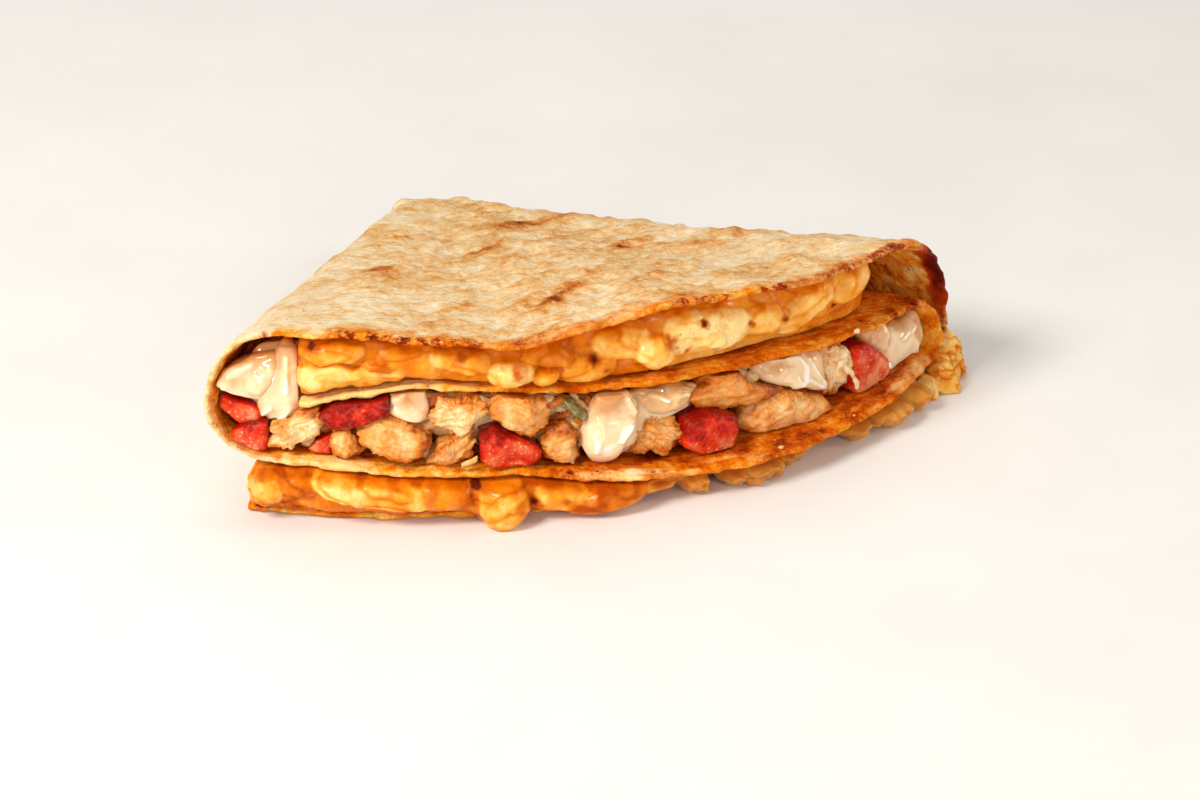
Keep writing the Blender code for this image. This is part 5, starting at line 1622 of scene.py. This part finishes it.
# Thin sauce that lies behind the pieces, with outlines in the photo's pixels
FILMS = {
    "sauce_film_left": Piece("sauce", 118.6, 4.4, 0, 51, [
        (252, 350), (276, 344), (300, 344), (303, 372), (300, 402), (298, 424), (264, 424), (252, 404),
        (248, 374)]),
    "sauce_film_drop": Piece("sauce", 120.6, 5.0, 0, 58, [
        (596, 402), (640, 394), (706, 386), (702, 400), (668, 420), (650, 424), (642, 440), (626, 458),
        (602, 458)]),
    "sauce_film_bead": Piece("sauce", 118.6, 4.0, 0, 56, [
        (384, 394), (470, 398), (472, 410), (440, 416), (420, 426), (392, 420)]),
    "sauce_film_shreds": Piece("thin_sauce", 118.0, 4.4, 0, 52, [
        (424, 397), (500, 398), (512, 412), (504, 434), (478, 442), (440, 440), (416, 424)]),
    "sauce_film_round": Piece("thin_sauce", 118.0, 4.0, 0, 57, [
        (494, 399), (560, 400), (562, 424), (548, 446), (520, 446), (500, 430)]),
    "sauce_film_pepper": Piece("thin_sauce", 118.0, 4.4, 0, 53, [
        (552, 400), (604, 398), (606, 436), (588, 446), (562, 438), (552, 418)]),
    "sauce_film_frayed": Piece("thin_sauce", 118.0, 4.4, 0, 54, [
        (636, 398), (706, 384), (718, 412), (694, 434), (650, 442), (632, 430)]),
    "sauce_film_right": Piece("thin_sauce", 118.4, 4.0, 0, 55, [
        (820, 352), (860, 336), (868, 362), (858, 396), (828, 400)]),
}

# Shreds of chicken in the gaps: how many are tried, and the ranges of their angle, share of the height there,
# radius from the tip, turn, half length, half width and tone
SHRED_TRIES = 1500
SHRED_ANGLE, SHRED_SHARE, SHRED_RADIUS = (SLIT_TOP - 2.0, 34.5), (0.06, 0.88), (116.0, 120.4)
SHRED_TURN, SHRED_LONG, SHRED_WIDE, SHRED_TONE = (-1.2, 1.2), (1.2, 3.2), (0.6, 1.3), (0.0, 0.85)
# Crumbs on the shelf of layer 3: how many, and the ranges of their angle, distance from its rim, half size
# and tone
SHELF_CRUMBS = 70
SHELF_ANGLE, SHELF_GAP, SHELF_SIZE, SHELF_TONE = (-28, 33), (0.8, 7.0), (0.15, 0.55), (0.1, 1.0)
LOOSE_CELLS, LOOSE_SEED = 5, 7
# Single strands and flakes: pixel in the photo, radius, turn in degrees, half length, half width and tone
STRANDS = [
    (849, 371, 126.6, -50, 2.6, 0.7, 0.02), (856, 383, 126.8, -75, 1.8, 0.6, 0.05),
    (843, 363, 126.4, 20, 1.6, 0.6, 0.1), (857, 331, 125.2, 10, 0.8, 0.6, 0.0),
    (470, 462, 125.2, 30, 2.0, 0.6, 0.3),
]


def covered(angle, z, outlines):
    """Whether the front at this angle and height lies behind one of the outlines."""
    for angles, heights in outlines:
        x, y = (angles - angle) * DEGREE, heights - z
        turn = np.angle(np.exp(1j * (np.arctan2(np.roll(y, -1), np.roll(x, -1)) - np.arctan2(y, x)))).sum()
        if abs(turn) > math.pi:
            return True
    return False


def build_scatter(material):
    """Shreds in the gaps between the pieces and crumbs on the shelf in front of them, in one mesh."""
    draw = np.random.default_rng(LOOSE_SEED)
    ball, quads = round_grid(LOOSE_CELLS)
    outlines = [on_front(piece.outline, piece.radius - 1.0) for piece in PIECES.values()]
    points, faces, tones = [], [], []

    def lump(half_sizes, shift, depth, size, seed):
        """An uneven ball with these half sizes."""
        uneven = 1 + depth * rough(ball * 2 + shift, size, 2, seed)
        return ball * half_sizes * uneven[:, None]

    def add(shape, tone):
        faces.append(quads + sum(len(p) for p in points))
        points.append(shape)
        tones.append(np.full(len(shape), tone))

    for _ in range(SHRED_TRIES):
        angle = draw.uniform(*SHRED_ANGLE)
        share, radius, turn = (draw.uniform(*span) for span in (SHRED_SHARE, SHRED_RADIUS, SHRED_TURN))
        long, wide, tone = (draw.uniform(*span) for span in (SHRED_LONG, SHRED_WIDE, SHRED_TONE))
        low, high = pocket(np.array([angle]), np.array([radius]), np.array([0.0]))
        z = between(float(low[0]), float(high[0]), share)
        if covered(angle, z, outlines):
            continue
        local = lump((long, wide, wide), draw.uniform(0, 50, 3), 0.35, 1.6, 301)
        x, up = turned(local[:, 0], local[:, 2], -turn)
        add(into_pocket(angle + np.degrees(x / radius), radius - local[:, 1], z + up), tone)
    for _ in range(SHELF_CRUMBS):
        angle, gap, size = (draw.uniform(*span) for span in (SHELF_ANGLE, SHELF_GAP, SHELF_SIZE))
        tone = draw.uniform(*SHELF_TONE)
        radius = float(smooth(RIM[3], angle)) - gap
        z = float(height(3, angle, radius)) + HALF + 0.2
        local = lump((size * 1.3, size, size * 0.7), draw.uniform(0, 50, 3), 0.4, 1.3, 302)
        if covered(angle, z + 1.0, outlines):
            continue
        add(at(angle + np.degrees(local[:, 0] / radius), radius - local[:, 1], z + local[:, 2]), tone)
    for k, (u, v, radius, turn, long, wide, tone) in enumerate(STRANDS):
        angle, z = on_front([(u, v)], radius)
        local = lump((long, wide * 0.7, wide), 9.0 * k, 0.3, 1.3, 303)
        local[:, 2] += 0.25 * wide * np.sin(local[:, 0] * 1.6 + k)
        x, up = turned(local[:, 0], local[:, 2], -math.radians(turn))
        add(at(angle[0] + np.degrees(x / radius), radius - local[:, 1], z[0] + up), tone)
    tone = np.concatenate(tones)
    values = {"tone": tone, "rim": np.full(tone.shape, 0.3), "upper": np.zeros(tone.shape)}
    points, faces = np.concatenate(points), np.concatenate(faces).tolist()
    new_piece("chicken_shreds_loose", points, faces, material, values=values)


# The filling behind the pieces: the radius of its front and where it starts, its rows and columns
FILLING_RIM, FILLING_START, FILLING_ROWS, FILLING_BACK = 112.5, 22.0, 34, 9
# Its sections from the left fold to the inner fold: in a fold, the shares of its depth
LEFT_SHARES, FILLING_ANGLES, INNER_SHARES = (-0.92, -0.08, 16), (LEFT_FOLD, INNER_FOLD, 230), (0.1, 0.86, 8)
# How close to the slit, in degrees, the filling stays below layer 2, and its least half height
SLIT_PASSING, FILLING_HALF = 1.2, 0.6


def build_filling(material):
    """The chicken filling behind the pieces, from the left fold to the inner fold."""
    left, inner = FOLDS["left"], FOLDS["inner"]
    places = [(left.angle, share) for share in np.linspace(*LEFT_SHARES)]
    places += [(angle, 0.0) for angle in np.linspace(*FILLING_ANGLES)]
    places += [(inner.angle, share) for share in np.linspace(*INNER_SHARES)]
    angle, share = np.array(places).T[..., None]

    def room(radius):
        """Lowest and highest height of the filling at this radius, and how far it goes into the fold."""
        reach = np.where(share < 0, left.reach(radius), inner.reach(radius)) - FOOD_CLEAR
        side = share * reach
        low, high = pocket(angle, radius, side)
        below = np.minimum(high, height(2, angle, radius) - FOOD_CLEAR)
        high = np.where(np.abs(angle - SLIT_TOP) < SLIT_PASSING, below, high)
        return low + FILLING_HALF, np.maximum(high - FILLING_HALF, low + 0.8), side

    back = np.full((len(angle), FILLING_BACK), np.linspace(FILLING_START, FILLING_RIM, FILLING_BACK))
    low, high, side = room(back)
    up = np.linspace(0.03, 0.97, FILLING_ROWS)[None]
    front_low, front_high, front_side = room(np.full(angle.shape, FILLING_RIM))
    front_z = between(front_low, front_high, up)
    spot = at(angle, FILLING_RIM, front_z, front_side)
    lumps = rough(spot, 5.5, 3, 201)
    strand = ripple(spot / (2.4, 2.4, 0.9), 202)
    front = FILLING_RIM + 1.4 + 1.8 * lumps + 0.35 * strand - 2.0 * (up - 0.5) ** 2
    radius = there_and_back(back, front, back)
    z = there_and_back(low, front_z, high)
    sides = there_and_back(side, np.full(front.shape, front_side), side)
    tone = flanked(0.55 + 0.3 * lumps, FILLING_BACK, FILLING_BACK, 0.5)
    values = {"tone": tone, "rim": np.full(z.shape, 0.6), "upper": np.zeros(z.shape)}
    points, faces = loft(at(angle, radius, z, sides))
    new_piece("filling_core", points, faces, material, ("filling",), values)


def chicken_material(name, darker=0.0):
    """Cooked chicken: pale fibres, golden and browned in places, deeper towards each piece's outline as
    painted shade in the crevices between pieces, moist.
    """
    g = Graph(name)
    fine = g.noise(0.8, 4.0, 0.65)
    cloud = g.noise(3.2, 3.0, 0.6)
    # Deeper towards each piece's outline: painted shade in the crevices between pieces
    tone = g.add(g.number("tone"), g.times(g.number("rim"), 0.14))
    tone = g.add(tone, g.span(cloud, 0.25, 0.75, -0.09 + darker, 0.09 + darker))
    tone = g.vary(tone, fine, 0.05)
    colour = g.ramp(tone, [
        (0.0, (255, 230, 184)), (0.2, (252, 204, 140)), (0.42, (234, 160, 76)), (0.62, (214, 120, 24)),
        (0.8, (170, 70, 4)), (1.0, (96, 26, 2)),
    ])
    relief = g.bump(fine, 0.2)
    relief = g.bump(cloud, 0.4, relief)
    gloss = g.span(g.noise(1.6, 3.0), 0.3, 0.7, 0.2, 0.42)
    wet = g.span(g.noise(1.4, 3.0), 0.42, 0.52, 0.0, 1.0)
    juice = g.bump(g.noise(0.6, 2.0), 0.55, relief)
    return g.finish(Base_Color=colour, Roughness=gloss, Normal=relief, Subsurface_Weight=0.3,
                    Subsurface_Radius=(0.9, 0.45, 0.25), Subsurface_Scale=0.002, Specular_IOR_Level=0.35,
                    Specular_Tint=(1.0, 0.8, 0.55), Coat_Weight=wet, Coat_Roughness=0.08,
                    Coat_IOR=1.45, Coat_Normal=juice)


def tomato_material():
    """Diced tomato: deep red with paler, grainy cut faces, wet."""
    g = Graph("tomato_flesh")
    fine = g.noise(0.55, 3.0, 0.7)
    cloud = g.noise(3.0, 3.0, 0.6)
    # Deeper red towards the outline, and on the upper part as painted shade under the layer above
    cut = g.math("SUBTRACT", g.number("tone"), g.times(g.number("rim"), 0.4))
    cut = g.math("SUBTRACT", cut, g.times(g.number("upper"), 0.4))
    cut = g.add(cut, g.span(cloud, 0.3, 0.7, -0.15, 0.2))
    colour = g.ramp(cut, [
        (0.0, (146, 8, 2)), (0.28, (204, 26, 4)), (0.5, (218, 56, 16)), (0.75, (224, 96, 52)),
        (1.0, (238, 140, 96)),
    ])
    seeds = g.span(g.spots(0.9), 0.14, 0.3, 0.8, 0.0)
    colour = g.mix(g.times(seeds, g.span(cut, 0.3, 0.65)), colour, tint(248, 184, 146))
    relief = g.bump(fine, 0.26)
    relief = g.bump(g.spots(1.1), 0.16, relief)
    wet = g.span(g.noise(0.8, 2.0), 0.5, 0.56)
    return g.finish(Base_Color=colour, Roughness=g.span(fine, 0.3, 0.7, 0.3, 0.45), Normal=relief,
                    Subsurface_Weight=0.3, Subsurface_Radius=(1.0, 0.2, 0.1), Subsurface_Scale=0.002,
                    Specular_IOR_Level=0.2, Specular_Tint=(1.0, 0.6, 0.4), Coat_Weight=wet,
                    Coat_Roughness=0.06, Coat_Normal=relief)


def sauce_material(name, pale, deep):
    """White sauce: smooth and glossy, tinged towards its outline where it lies thin, deeper on its upper part
    as painted shade, and near-white along its ridges as painted highlights.
    """
    g = Graph(name)
    cloud = g.noise(4.0, 2.0, 0.5)
    tone = g.add(g.number("tone"), g.span(cloud, 0.3, 0.7, -0.1, 0.3))
    tone = g.add(tone, g.times(g.number("rim"), 0.1))
    # Deeper on the upper part of each piece: painted shade under the layer above
    tone = g.add(tone, g.times(g.number("upper"), 0.6))
    # The near-white first stop is the painted highlight along the ridges, whose tone is lowered
    colour = g.ramp(tone, [(0.0, (255, 244, 226)), (0.15, pale), (0.42, pale), (1.0, deep)])
    relief = g.bump(g.noise(3.4, 2.0, 0.4, 0.6), 0.5)
    return g.finish(Base_Color=colour, Roughness=g.span(cloud, 0.3, 0.7, 0.1, 0.2), Normal=relief,
                    Subsurface_Weight=0.45, Subsurface_Radius=(1.0, 0.7, 0.45), Subsurface_Scale=0.003,
                    Specular_IOR_Level=0.4, Specular_Tint=(1.0, 0.9, 0.75), Coat_Weight=0.8,
                    Coat_Roughness=0.04)


def pepper_material():
    """Cooked green pepper: olive green with darker skin."""
    g = Graph("pepper_skin")
    cloud = g.noise(1.6, 3.0, 0.6)
    colour = g.ramp(cloud, [(0.3, (84, 84, 38)), (0.5, (122, 112, 58)), (0.7, (166, 150, 96))])
    return g.finish(Base_Color=colour, Roughness=g.span(cloud, 0.3, 0.7, 0.15, 0.35),
                    Normal=g.bump(cloud, 0.2), Coat_Weight=0.5, Coat_Roughness=0.08)


build_camera()
build_lights()
build_floor()
build_tortilla(tortilla_material())
CHEESE = cheese_material()
build_cheese_upper(CHEESE)
build_cheese_lower(CHEESE)
build_cheese_crisp(CHEESE)
FINISHES = {
    "chicken": chicken_material("chicken_fibres"),
    "tomato": tomato_material(),
    "sauce": sauce_material("sauce_white", (252, 219, 176), (214, 154, 92)),
    "thin_sauce": sauce_material("sauce_thin", (242, 198, 142), (204, 142, 78)),
    "pepper": pepper_material(),
}
build_filling(chicken_material("chicken_behind", 0.2))
for piece_name, piece in PIECES.items():
    build_piece(piece_name, piece, FINISHES, (piece_name,))
for piece_name, piece in FILMS.items():
    build_piece(piece_name, piece, FINISHES)
build_scatter(FINISHES["chicken"])
